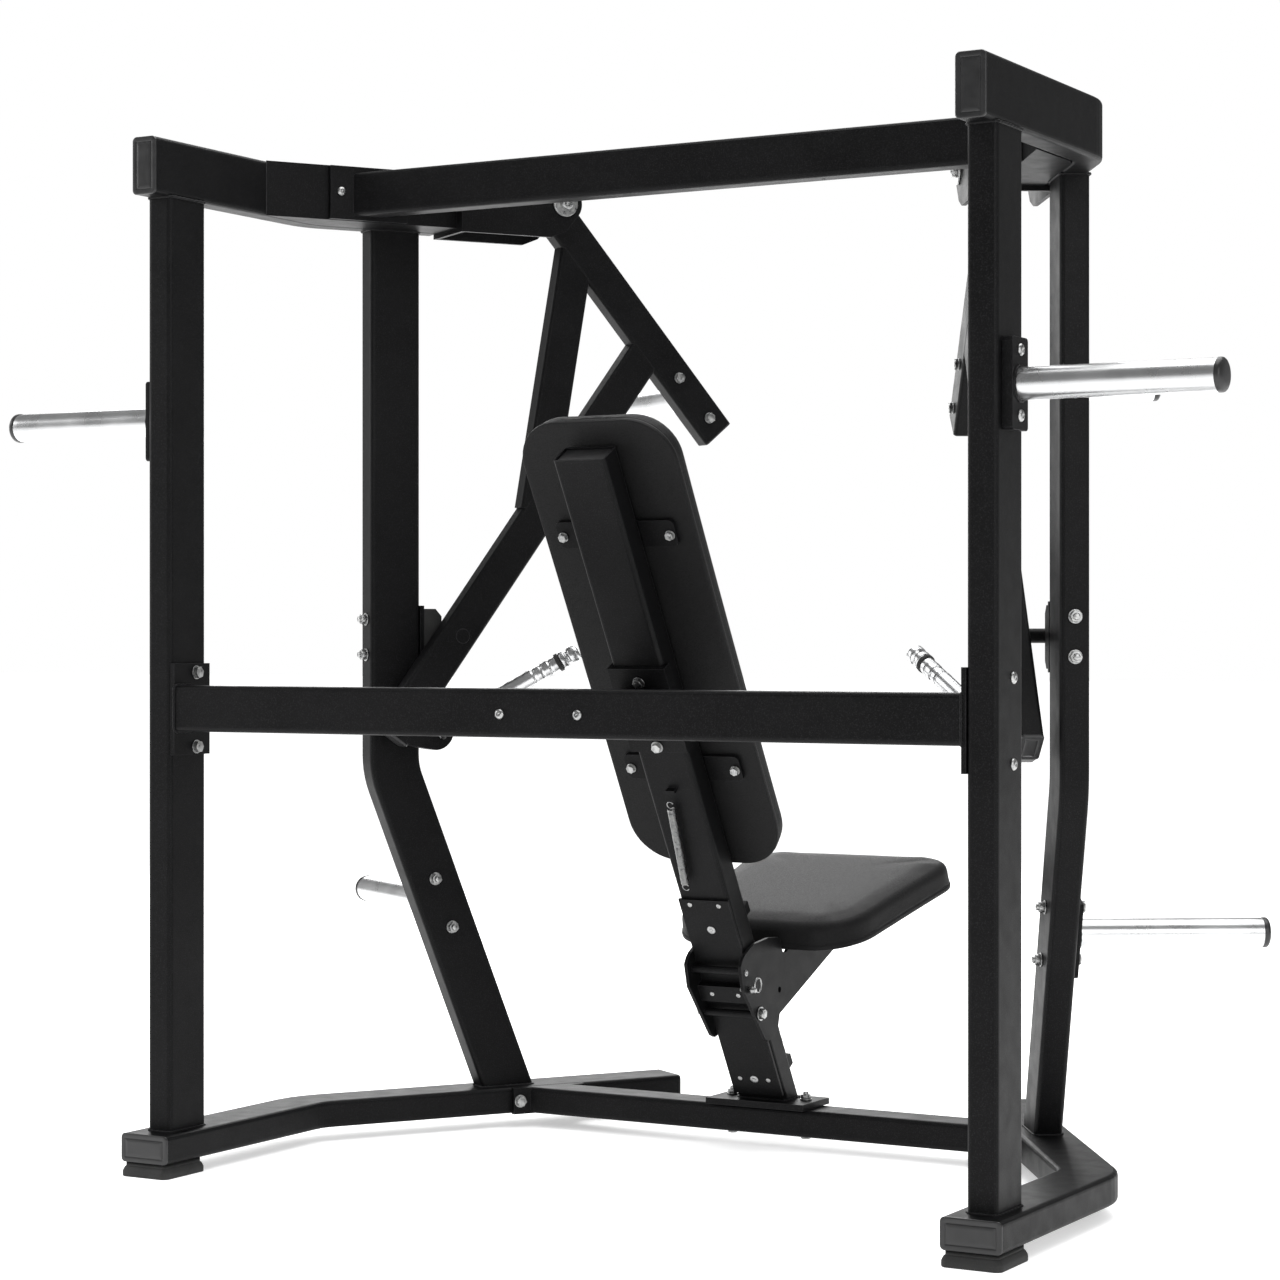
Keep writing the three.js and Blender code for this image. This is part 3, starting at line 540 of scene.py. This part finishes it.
def column_fasteners():
    """Fasteners of the column's foot, the backrest brackets and the guide plate."""
    head, screw_nut = bolt_head(16, 22), nut(16, 22)
    foot = [(Vector((x, POST_REAR + 0.815, 0.087)), Z) for x in (-0.076, 0.076)]
    fasteners("column_foot_nuts", screw_nut, foot, "frame")
    under = [(Vector((x, POST_REAR + 0.815, 0.025)), -Z) for x in (-0.076, 0.076)]
    fasteners("column_foot_bolts", head, under, "frame")
    for name, level in (("upper", 1151), ("lower", 686)):
        places = [(column_point(x, 50.3, level), -COLUMN_FRONT) for x in (-104, 104)]
        fasteners(f"{name}_bracket_bolts", bolt_head(14, 18), places, "frame")
    clamp = [(column_point(0, -8, w), -COLUMN_FRONT) for w in (768, 897)]
    fasteners("clamp_plate_bolts", head, clamp, "frame")
    small = [(column_point(x, -5.3, w), -COLUMN_FRONT) for x in (-29, 29) for w in (49, 434)]
    fasteners("guide_plate_screws", socket_screw(9), small, "frame")
    large = [(column_point(0, -5.3, w), -COLUMN_FRONT) for w in (49, 381)]
    fasteners("guide_plate_bolts", socket_screw(16), large, "frame")


def arm_fasteners():
    """Two through bolts that hold the loading horn's plate on each lever."""
    holes = ((683, 1445), (750, 1369))
    inner = [(side_point(798, s, z), -OUTWARD) for s, z in holes]
    outer = [(side_point(846.3, s, z), OUTWARD) for s, z in holes]
    fastener_pair("loading_horn_bolts", bolt_head(17, 21), inner, "arm_{}")
    fastener_pair("loading_horn_nuts", nut(17, 21), outer, "arm_{}")


# ---- welds ----------------------------------------------------------------------------------
def bead(path):
    """Weld bead along a closed path: a small round section with the ripples of its passes."""
    radius, segments = 2.6, 8
    ripple = random.Random(len(path))
    rings = []
    for i, point in enumerate(path):
        tangent = (path[(i + 1) % len(path)] - path[i - 1]).normalized()
        normal = tangent.orthogonal().normalized()
        binormal = tangent.cross(normal)
        size = radius * (1.0 + 0.16 * math.sin(i * 1.9) + ripple.uniform(-0.06, 0.06)) * MM
        rings.append([
            point + (normal * math.cos(a) + binormal * math.sin(a)) * size
            for a in (math.tau * k / segments for k in range(segments))
        ])
    return skin_aligned(rings)


def skin_aligned(rings):
    """Closed skin that turns each ring so that its points stay nearest to the last ring's."""
    aligned = [rings[0]]
    for ring in rings[1:]:
        last = aligned[-1]
        shifts = range(len(ring))
        best = min(shifts, key=lambda k: (ring[k] - last[0]).length_squared)
        aligned.append(ring[best:] + ring[:best])
    return skin(aligned, True)


def ring_path(matrix, width, height):
    """Points evenly spaced round a rounded rectangle in a matrix's local xy plane."""
    radius, spacing = 8, 3.5
    corners = rounded_ring(width, height, radius)
    path = []
    for i, start in enumerate(corners):
        end = corners[(i + 1) % len(corners)]
        steps = max(1, round((end - start).length / (spacing * MM)))
        path += [matrix @ start.lerp(end, k / steps) for k in range(steps)]
    return path


def round_path(matrix, radius, count=48):
    """Points evenly spaced round a circle in a matrix's local xy plane."""
    steps = (math.tau * i / count for i in range(count))
    return [matrix @ (Vector((math.cos(a), math.sin(a), 0)) * radius * MM) for a in steps]


def frame_welds():
    """Beads where the posts, the flanges and the column's foot meet the tubes."""
    base_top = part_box("base_tube_right")[1][2]
    top_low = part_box("top_tube_right")[0][2]
    post = Vector(((POST_INNER + POST_OUTER) / 2, POST_REAR + HALF_TUBE, 0))
    front_top = side_point(FRONT_C / MM, 113, 0)
    front_foot = side_point(FRONT_C / MM, 348, 0)
    welds = Shape()
    welds.add(bead(ring_path(basis(post + Z * base_top, X, Z), 51, 101)))
    welds.add(bead(ring_path(basis(post + Z * top_low, X, Z), 51, 101)))
    welds.add(bead(ring_path(basis(front_top + Z * top_low, OUTWARD, Z), 51, 101)))
    welds.add(bead(ring_path(basis(front_foot + Z * base_top, OUTWARD, Z), 51, 108)))
    flange = Vector((POST_INNER - 8.3 * MM, POST_REAR + 0.025, 0.8135))
    welds.add(bead(ring_path(basis(flange, Z, -X), 81, 51)))
    both("frame_welds", welds, PAINT, "frame", slot="frame_paint")
    foot = ring_path(basis(COLUMN_FOOT + Y * 0.0289, X, Z), 101, 58.7)
    make("column_foot_weld", bead(foot), PAINT, "frame", slot="frame_paint")


# ---- caps and feet --------------------------------------------------------------------------
def tube_cap(width, height, radius=8):
    """Plastic end plate with a shallow outline groove. Local z = 0 is the tube's end, +z is outward."""
    steps = [
        (4, -18), (3.4, 0.2), (0, 0.3), (-0.2, 0.8), (-0.2, 2.6), (0.5, 3.7), (1.8, 4.3),
        (8.0, 4.3), (8.5, 3.3), (9.7, 3.3), (10.2, 4.3), (16, 4.4),
    ]
    return terraces(width, height, radius, steps)


def frame_caps():
    """End plates of the base tubes and of the top tubes' rear ends."""
    rear = POST_REAR - 0.038
    post_x = (POST_INNER + POST_OUTER) / 2
    base = basis(Vector((post_x, rear, 0.05)), X, -Y)
    both("base_rear_plug", tube_cap(100, 50).moved(base), PLASTIC, "frame",
         slot="end_plastic", replaces=("base_rear_cap_{}",))
    top = basis(Vector((post_x, rear, TOP - HALF_TUBE)), X, -Y)
    both("top_rear_plug", tube_cap(50, 100).moved(top), PLASTIC, "frame",
         slot="end_plastic", replaces=("top_cap_{}",))
    front = basis(side_point(FRONT_C / MM, 706, 50), OUTWARD, ALONG)
    both("base_front_plug", tube_cap(100, 50).moved(front), PLASTIC, "frame",
         slot="end_plastic", replaces=("base_front_cap_{}",))


def rubber_foot():
    """Flared pad with a stepped neck and a chamfered tread edge."""
    return terraces(100, 115, 12, [
        (1.5, 0), (0, 1.5), (0, 9), (1.2, 12), (4, 16.5), (6, 18), (6.4, 18.4), (6.4, 24.7),
    ])


def feet():
    """Four rubber feet, two under each base tube."""
    rear = Vector(((POST_INNER + POST_OUTER) / 2, POST_REAR + 0.012, 0))
    both("rear_rubber_foot", rubber_foot().moved(basis(rear, X, Z)), RUBBER, "frame",
         slot="foot_rubber", replaces=("rear_foot_{}",))
    front = basis(side_point(FRONT_C / MM, 640, 0), OUTWARD, Z)
    both("front_rubber_foot", rubber_foot().moved(front), RUBBER, "frame",
         slot="foot_rubber", replaces=("front_foot_{}",))


# ---- weight horns ---------------------------------------------------------------------------
HORN_RADIUS = 25
STORAGE_HORN = 327  # length from the plate's back, in millimetres


def horn_set(name, matrix, body, node, cap_node, width, height, length, thickness=8):
    """Mounting plate, chrome horn welded to it, and the domed plastic end."""
    edge = 0.8
    steps = [(edge, 0), (0, edge), (0, thickness - edge), (edge, thickness)]
    base = terraces(width, height, 6, steps)
    plate_face = matrix @ Matrix.Translation((0, 0, (thickness + 0.6) * MM))
    welds = bead(round_path(plate_face, HORN_RADIUS + 1.4))
    both(f"{name}_plate", base.moved(matrix).add(welds), PAINT, body, slot="frame_paint", replaces=(node,))
    tube = turned([
        (HORN_RADIUS, thickness - 2), (HORN_RADIUS, thickness - 1), (HORN_RADIUS, thickness + 3),
        (HORN_RADIUS, thickness + 12), (HORN_RADIUS, length * 0.5), (HORN_RADIUS, length - 12),
        (HORN_RADIUS, length - 0.5), (HORN_RADIUS - 0.6, length),
    ], 64)
    both(f"{name}_bar", tube.moved(matrix), CHROME, body, slot="chrome")
    end = turned([
        (22, -15), (22, 0), (25.6, 0.2), (26, 0.6), (26, 5.5), (25.4, 7.4), (23.6, 9.4),
        (20.4, 11.1), (16, 12.2), (10, 12.8), (1, 13),
    ], 48)
    tip = matrix @ Matrix.Translation((0, 0, length * MM))
    both(f"{name}_end", end.moved(tip), PLASTIC, body, slot="end_plastic", replaces=(cap_node,))


def horns():
    """Upper and lower storage horns of the frame, and the loading horns of the arms."""
    slope = math.radians(21)
    upper = basis(Vector((POST_OUTER + GAP, POST_REAR + 0.046, 1.317)), Y, X)
    horn_set("upper_horn", upper, "frame", "upper_storage_horn_{}", "upper_horn_cap_{}",
             width=60, height=140, length=STORAGE_HORN, thickness=18)
    along_post = ALONG * math.cos(slope) + Z * math.sin(slope)
    lower = basis(side_point(916.3, 211, 432.5), along_post, OUTWARD)
    horn_set("lower_horn", lower, "frame", "lower_storage_horn_{}", "lower_horn_cap_{}",
             width=70, height=140, length=STORAGE_HORN)
    lever_along = (side_point(0, *LEVER[1]) - side_point(0, *LEVER[0])).normalized()
    loading = basis(side_point(838.3, 716.5, 1407), lever_along, OUTWARD)
    horn_set("loading_sleeve", loading, "arm_{}", "loading_horn_{}", "loading_horn_cap_{}",
             width=132, height=50, length=332)


# ---- arms -----------------------------------------------------------------------------------
# Tubes as the two ends of their centre line, (along, up) in the side frame, in millimetres.
LEVER = ((405, 1769), (771, 1340))
PIVOT = (414, 1763)
FORK_INNER, FORK_OUTER = 754, 889
STRUT = ((378.7, 1180), (464.5, 1684))
DIAGONAL = ((82, 756), (627, 1510))
HANDLE_ROOT = (798, 167.6, 760.7)  # outward, along, up
HANDLE_DIRECTION = (-0.4157, 0.7636, 0.4929)
HANDLE_LENGTH = 303


def arm_tube(start, end, depth):
    """Rounded rectangular tube between two (s, z) points of the side frame."""
    a, b = side_point(ARM_C, *start), side_point(ARM_C, *end)
    along = (b - a).normalized()
    length = (b - a).length / MM
    matrix = basis(a, OUTWARD, along)
    width, corner = 70, 7
    return skin([rounded_ring(depth, width, corner, level) for level in (0, length)]).moved(matrix)


def arms():
    """Each arm's weldment: lever, long tube, strut, bearing hub, stop pin and handle lug."""
    body = Shape()
    for (start, end), depth in ((LEVER, 40), (DIAGONAL, 39), (STRUT, 38)):
        body.add(arm_tube(start, end, depth))
    hub = basis(side_point(FORK_INNER + 10, *PIVOT), Z, OUTWARD)
    width = FORK_OUTER - FORK_INNER - 20
    hub_profile = [(12.8, 0), (29, 0), (30, 1), (30, width - 1), (29, width), (12.8, width)]
    body.add(turned(hub_profile, 48).moved(hub))
    pin = basis(side_point(797.6, 221.5, 940), Z, OUTWARD)
    pin_profile = [(13.2, 0), (13.8, 0.8), (12.5, 40.8), (12.5, 96.4), (11.7, 97.4), (0.5, 97.4)]
    body.add(turned(pin_profile, 32).moved(pin))
    body.add(handle_tab())
    both("arm_frame", body, PAINT, "arm_{}", slot="frame_paint", bevel=0.9, replaces=("arm_{}",))
    arm_details()


def handle_tab():
    """Rounded lug in front of the arm's lower end that holds the handle."""
    centre_s, centre_z, radius = 167, 762, 36
    steps = 16
    outline = [(105, 742), (113, 736), (160, 726.7)]
    for i in range(steps + 1):
        angle = math.radians(-100 + 190 * i / steps)
        outline.append((centre_s + radius * math.cos(angle), centre_z + radius * math.sin(angle)))
    outline += [(150, 795), (130, 780)]
    matrix = basis(side_point(798, 0, 0), ALONG, OUTWARD)
    return plate(outline, 40).moved(matrix)


def arm_details():
    """End covers of each arm's two open tubes."""
    down = (side_point(ARM_C, *DIAGONAL[0]) - side_point(ARM_C, *DIAGONAL[1])).normalized()
    foot = basis(side_point(ARM_C, *DIAGONAL[0]), OUTWARD, down)
    both("arm_lower_plug", tube_cap(40, 70, 7).moved(foot), PLASTIC, "arm_{}",
         slot="end_plastic", replaces=("arm_end_cap_{}",))
    lever_down = (side_point(ARM_C, *LEVER[1]) - side_point(ARM_C, *LEVER[0])).normalized()
    end = basis(side_point(ARM_C, *LEVER[1]), OUTWARD, lever_down)
    cover = terraces(40, 70, 7, [(4, -6), (3.4, -0.2), (0.2, 0), (0, 0.4), (0, 2), (0.8, 2.8), (10, 2.9)])
    both("lever_end_plate", cover.moved(end), PLASTIC, "arm_{}", slot="end_plastic")


def knurled_grip(length):
    """Chrome grip with three knurled bands, stopping 40 mm short of the free end, where the rounded fitting goes.
    """
    segments = 72
    plain_radius, groove_radius = 15.2, 14.2
    knurl_height = 0.7
    bands = ((34, 120), (136, 212), (228, 246))
    rings = []
    level = 0.0
    profile = []
    while level < length - 40:
        knurled = any(low < level < high for low, high in bands)
        groove = any(abs(level - edge) < 1.7 for band in bands for edge in band)
        radius = groove_radius if groove else plain_radius
        profile.append((radius, level, knurled and not groove))
        level += 1.6 if knurled else 2.0
    for radius, height, knurled in profile:
        ring = []
        for i in range(segments):
            angle = math.tau * i / segments
            raised = 0.0
            if knurled:
                a = (i + height * 1.2) % 4
                b = (i - height * 1.2) % 4
                raised = knurl_height * min(1.0, abs(a - 2)) * min(1.0, abs(b - 2))
            r = (radius - 0.25 + raised) * MM
            ring.append(Vector((r * math.cos(angle), r * math.sin(angle), height * MM)))
        rings.append(ring)
    return skin(rings)


def handles():
    """Grip, rubber ring, knob and root collar of each handle."""
    root = side_point(*HANDLE_ROOT)
    c, s, z = HANDLE_DIRECTION
    axis = (OUTWARD * c + ALONG * s + Z * z).normalized()
    matrix = basis(root, Z, axis)
    length = HANDLE_LENGTH
    grip = knurled_grip(length).moved(matrix)
    both("handle_grip", grip, CHROME, "arm_{}", slot="chrome", replaces=("handle_{}",))
    ring = turned([
        (14, length - 43), (17, length - 42.4), (17.4, length - 41), (17.4, length - 37),
        (17, length - 35.6), (14, length - 35),
    ], 40)
    both("handle_ring", ring.moved(matrix), RUBBER, "arm_{}", slot="foot_rubber")
    knob = turned([
        (13, length - 36), (14.6, length - 34), (16.6, length - 33), (17, length - 31), (17, length - 25),
        (15.6, length - 23.4), (12.6, length - 22.4), (12, length - 20), (12.6, length - 17.6),
        (15.8, length - 16), (17, length - 13.6), (17.2, length - 8), (16.8, length - 3),
        (15.2, length + 0.6), (12, length + 2.8), (7, length + 3.8), (1, length + 4),
    ], 48)
    both("handle_knob", knob.moved(matrix), CHROME, "arm_{}", slot="chrome")
    collar = turned([(14, 2), (19, 3), (19.6, 4), (19.6, 9), (18.6, 11), (15, 12)], 40)
    both("handle_collar", collar.moved(matrix), PAINT, "arm_{}", slot="frame_paint")


def pivot_shafts():
    """Shaft with a broad washer and a socket head at each end of the fork."""
    half = [(25, 0), (25.4, 0.6), (25.4, 3.2), (24.4, 4), (12.5, 4.2)]
    head = [(12, 4.2), (12.6, 5), (12.6, 11), (11.4, 13), (7.4, 13.6), (6.8, 13), (6.4, 8), (0.6, 8)]
    inner = basis(side_point(FORK_INNER - 0.3, *PIVOT), Z, -OUTWARD)
    outer = basis(side_point(FORK_OUTER, *PIVOT), Z, OUTWARD)
    shape = Shape()
    for matrix in (inner, outer):
        shape.add(turned([(12, -0.1)] + half, 48), matrix).add(turned(head, 40), matrix)
    rod = basis(side_point(FORK_INNER - 0.2, *PIVOT), Z, OUTWARD)
    shape.add(turned([(12, 0), (12, FORK_OUTER - FORK_INNER)], 32), rod)
    both("pivot_pin", shape, ZINC, "frame", slot="zinc", replaces=("pivot_shaft_{}",))


# ---- upholstery -----------------------------------------------------------------------------
# Sizes in millimetres. The taper is the share by which a pad is narrower at its back.
BACK_PAD = {"width": 300, "length": 883, "corner": 85, "rear_corner": 85, "taper": 0.0, "thickness": 50}
SEAT_PAD = {"width": 454, "length": 449, "corner": 78, "rear_corner": 100, "taper": 0.163, "thickness": 55}
SEAT_TILT = math.radians(13.3)
SIDE_PULL = 2.5  # how far a pad's sides draw in midway between its corners, in millimetres


def pad_ring(pad, inset, level):
    """Rounded outline of a pad, narrower at the back, its sides drawn in between the corners."""
    corner_steps, side_steps = 12, 16
    width, length = pad["width"], pad["length"]
    room = min(width, length) / 2 - inset
    least = min(inset, room) * 0.4  # keeps the inner rings round where the corner radius is used up
    front, rear = (
        rounded_ring(width - 2 * inset, length - 2 * inset, max(corner - inset, least), level, corner_steps)
        for corner in (pad["corner"], pad["rear_corner"])
    )
    corners = [there if here.y < 0 else here for here, there in zip(front, rear)]
    ring = []
    for i, here in enumerate(corners):
        there = corners[(i + 1) % len(corners)]
        steps = side_steps if i % (corner_steps + 1) == corner_steps else 1
        ring += [here.lerp(there, k / steps) for k in range(steps)]
    for point in ring:
        across = point.x / (width / 2 * MM)
        along = point.y / (length / 2 * MM)
        narrowing = 1 - pad["taper"] * (1 - along) / 2
        point.x *= narrowing * (1 - SIDE_PULL / (width / 2) * (1 - along ** 2))
        point.y *= 1 - SIDE_PULL / (length / 2) * (1 - across ** 2)
    return ring


def cushion(name, pad, matrix, body, node):
    """Board, welt and crowned foam in one closed form, lying on local z = 0."""
    crown = pad["thickness"] - 4
    middle = min(pad["width"], pad["length"]) / 2
    profile = [
        (14, 0.2), (9, 0.0), (2.2, 0.3), (0.8, 1.2), (0.2, 3.0), (0.0, 7.0),
        (0.4, 9.4), (1.8, 10.4), (0.9, 11.6), (0.1, 15), (0.0, 24),
        (0.6, crown - 18), (2.2, crown - 11), (5.2, crown - 5.6), (9.8, crown - 1.8),
        (16, crown + 0.6), (30, crown + 2.2), (42, crown + 2.9), (55, crown + 3.3),
    ]
    for share in (0.4, 0.5, 0.6, 0.7, 0.8, 0.9, 0.97):
        profile.append((middle * share, crown + 4 - 0.9 * (1 - share) ** 2))
    shape = skin([pad_ring(pad, inset, level) for inset, level in profile]).moved(matrix)
    settle_cover(make(name, shape, VINYL, body, slot="upholstery", replaces=(node,)), matrix)


def settle_cover(cover, matrix):
    """Inflates a copy of the cover in a short cloth run and carries its bulge back to the sewn form."""
    held_level = 12 * MM  # the board and the welt stay as they are sewn
    most = 3 * MM
    frames, neighbours = 20, 8
    bag = bpy.data.objects.new("inflated_copy", cover.data.copy())
    bpy.context.collection.objects.link(bag)
    remesh = bag.modifiers.new("remesh", "REMESH")
    remesh.mode = "VOXEL"
    remesh.voxel_size = 6 * MM
    bag.data = bpy.data.meshes.new_from_object(bag.evaluated_get(bpy.context.evaluated_depsgraph_get()))
    bag.modifiers.clear()
    rest = [vertex.co.copy() for vertex in bag.data.vertices]
    to_pad = matrix.inverted()
    held = bag.vertex_groups.new(name="board")
    held.add([i for i, point in enumerate(rest) if (to_pad @ point).z < held_level], 1.0, "REPLACE")
    cloth = bag.modifiers.new("cover", "CLOTH")
    cloth.settings.use_pressure = True
    cloth.settings.uniform_pressure_force = 4
    cloth.settings.vertex_group_mass = held.name
    cloth.settings.effector_weights.gravity = 0
    for step in range(1, frames + 1):
        bpy.context.scene.frame_set(step)
    settled = bag.evaluated_get(bpy.context.evaluated_depsgraph_get()).data.vertices
    moves = [settled[i].co - point for i, point in enumerate(rest)]
    tree = KDTree(len(rest))
    for i, point in enumerate(rest):
        tree.insert(point, i)
    tree.balance()
    for vertex in cover.data.vertices:
        near = tree.find_n(vertex.co, neighbours)
        weights = [1 / (distance + MM) for _, _, distance in near]
        move = sum((moves[i] * weight for (_, i, _), weight in zip(near, weights)), Vector()) / sum(weights)
        if move.length > most:
            move *= most / move.length
        vertex.co += move
    bpy.data.objects.remove(bag)
    bpy.context.scene.frame_set(1)


def seam(name, pad, matrix, body):
    """Sewn welt round a cushion's edge."""
    path = [matrix @ point for point in pad_ring(pad, 2.6, 10.4)]
    make(name, sweep(circle(1.4, 8), path, True), VINYL, body, slot="upholstery")


def pads():
    """Backrest and seat, each a cushion with a welt."""
    back = basis(column_point(0, 58.9, 922.5), -X, COLUMN_FRONT)
    cushion("backrest_cushion", BACK_PAD, back, "frame", "backrest_pad")
    seam("backrest_welt", BACK_PAD, back, "frame")
    up = Vector((0, -math.sin(SEAT_TILT), math.cos(SEAT_TILT)))
    forward = Vector((0, math.cos(SEAT_TILT), math.sin(SEAT_TILT)))
    rear_edge = Vector((0, POST_REAR + 0.762, 0.366))
    seat = basis(rear_edge + forward * SEAT_PAD["length"] / 2 * MM, X, up)
    cushion("seat_cushion", SEAT_PAD, seat, "seat", "seat_pad")
    seam("seat_welt", SEAT_PAD, seat, "seat")


# ---- small parts on the column --------------------------------------------------------------
def coil_spring():
    """Extension spring with a loop at each end, hooked on the column and on the guide plate."""
    top, bottom = column_point(-4, -13, 657), column_point(-22, -13, 471)
    axis = (top - bottom).normalized()
    length = (top - bottom).length
    across = axis.cross(COLUMN_FRONT).normalized()
    normal = across.cross(axis)
    radius = 6.5 * MM
    wire = 0.95
    turns, steps = 60, 12
    hook, loop_steps = 14 * MM, 24
    coil = []
    for i in range(turns * steps + 1):
        angle = math.tau * i / steps
        share = i / (turns * steps)
        centre = bottom + axis * (hook + (length - 2 * hook) * share)
        coil.append(centre + (across * math.cos(angle) + normal * math.sin(angle)) * radius)
    shape = sweep(circle(wire, 6), coil)
    for end, sign in ((bottom, 1), (top, -1)):
        centre = end + axis * (sign * radius)
        loop = []
        for k in range(loop_steps + 1):
            angle = math.radians(-60 + 300 * k / loop_steps)
            loop.append(centre + (axis * sign * math.cos(angle) + across * math.sin(angle)) * radius)
        shape.add(sweep(circle(wire, 6), loop))
    make("coil_spring", shape, ZINC, "frame", slot="zinc", replaces=("return_spring",))


def pull_ring():
    """Spring plunger with a split ring that frees the seat."""
    start = Vector((0.040, POST_REAR + 0.627, 0.307))
    shape = turned([(4.4, 0), (4.4, 22), (4.0, 23), (0.4, 23)], 24).moved(basis(start, Z, X))
    collar = [(6, 20.6), (6.6, 21.2), (6.6, 25), (5.2, 26.2), (5.2, 29), (4.6, 30), (0.4, 30)]
    shape.add(turned(collar, 28), basis(start, Z, X))
    centre = start + Vector((0.028, 0.012, 0.008))
    shape.add(sweep(circle(1.9, 8), round_path(basis(centre, Y, X), 12.6, 40), True))
    make("seat_pull_pin", shape, ZINC, "latch", slot="zinc", replaces=("pull_pin",))


def carriage_fasteners():
    """Bolts through the side plates and the screws of the channel behind the column."""
    plate_face = 58 * MM
    for label, sign in SIDES:
        out = X * sign
        bolt = Vector((sign * plate_face, POST_REAR + 0.668, 0.260))
        fasteners(f"carriage_bolt_{label}", bolt_head(17, 26), [(bolt, out)], "seat")
        screw = Vector((sign * plate_face, POST_REAR + 0.613, 0.338))
        fasteners(f"carriage_bar_screw_{label}", socket_screw(12), [(screw, out)], "seat")
    channel = [(column_point(x, -20, 250), -COLUMN_FRONT) for x in (-27, 27)]
    fasteners("carriage_channel_screws", socket_screw(9), channel, "seat")


# ---- studio ---------------------------------------------------------------------------------
def studio():
    """Pale floor, white surround and large soft lights."""
    floor_mesh = bpy.data.meshes.new("studio_floor")
    reach = 60
    corners = [(-reach, -reach, 0), (reach, -reach, 0), (reach, reach, 0), (-reach, reach, 0)]
    floor_mesh.from_pydata(corners, [], [(0, 1, 2, 3)])
    floor = bpy.data.objects.new("studio_floor", floor_mesh)
    bpy.context.collection.objects.link(floor)
    n = Nodes("studio_floor")
    color = n.mix(n.noise(3, 3), (0.86, 0.86, 0.86), (0.90, 0.90, 0.90))
    glow = {"emission_color": (1, 1, 1, 1), "emission_strength": 0.42}
    floor_mesh.materials.append(n.finish(color, n.spread(n.noise(40, 3), 0.6, 0.75), **glow))
    world = bpy.data.worlds.new("studio")
    bpy.context.scene.world = world
    bpy.context.scene.view_settings.view_transform = "Standard"
    world.use_nodes = True
    tree = world.node_tree
    background = tree.nodes["Background"]
    background.inputs["Color"].default_value = (1, 1, 1, 1)
    path = tree.nodes.new("ShaderNodeLightPath")
    strength = tree.nodes.new("ShaderNodeMapRange")
    strength.inputs["To Min"].default_value = 1.0
    strength.inputs["To Max"].default_value = 0.25
    tree.links.new(path.outputs["Is Glossy Ray"], strength.inputs["Value"])
    tree.links.new(strength.outputs["Result"], background.inputs["Strength"])
    lights = (
        ("overhead", (0.3, 0.6, 5.0), (0, 0, 0.6), 5.0, 250),
        ("front", (-3.5, 5.0, 3.2), (0, 0, 0.9), 4.0, 180),
        ("rear_fill", (5.5, -4.0, 2.6), (0, 0, 0.8), 3.0, 90),
        ("left_rim", (-5.0, -1.5, 2.4), (0, 0, 0.9), 3.0, 110),
    )
    for name, place, target, size, power in lights:
        data = bpy.data.lights.new(name, "AREA")
        data.shape = "SQUARE"
        data.size = size
        data.energy = power
        lamp = bpy.data.objects.new(name, data)
        lamp.location = place
        direction = Vector(target) - Vector(place)
        lamp.rotation_euler = direction.to_track_quat("-Z", "Y").to_euler()
        bpy.context.collection.objects.link(lamp)


def camera():
    """The photograph's viewpoint: behind the machine, to its right, level."""
    data = bpy.data.cameras.new("viewpoint")
    data.lens = 85.56
    data.sensor_width = 36
    eye = bpy.data.objects.new("viewpoint", data)
    eye.location = (2.5858, POST_REAR - 4.1952, 0.9328)
    eye.rotation_euler = (math.radians(90), 0, math.radians(29.73))
    bpy.context.collection.objects.link(eye)
    bpy.context.scene.camera = eye


dress_cad_nodes()
frame_caps()
feet()
horns()
arms()
handles()
pivot_shafts()
pads()
coil_spring()
pull_ring()
carriage_fasteners()
frame_fasteners()
column_fasteners()
arm_fasteners()
frame_welds()
studio()
camera()
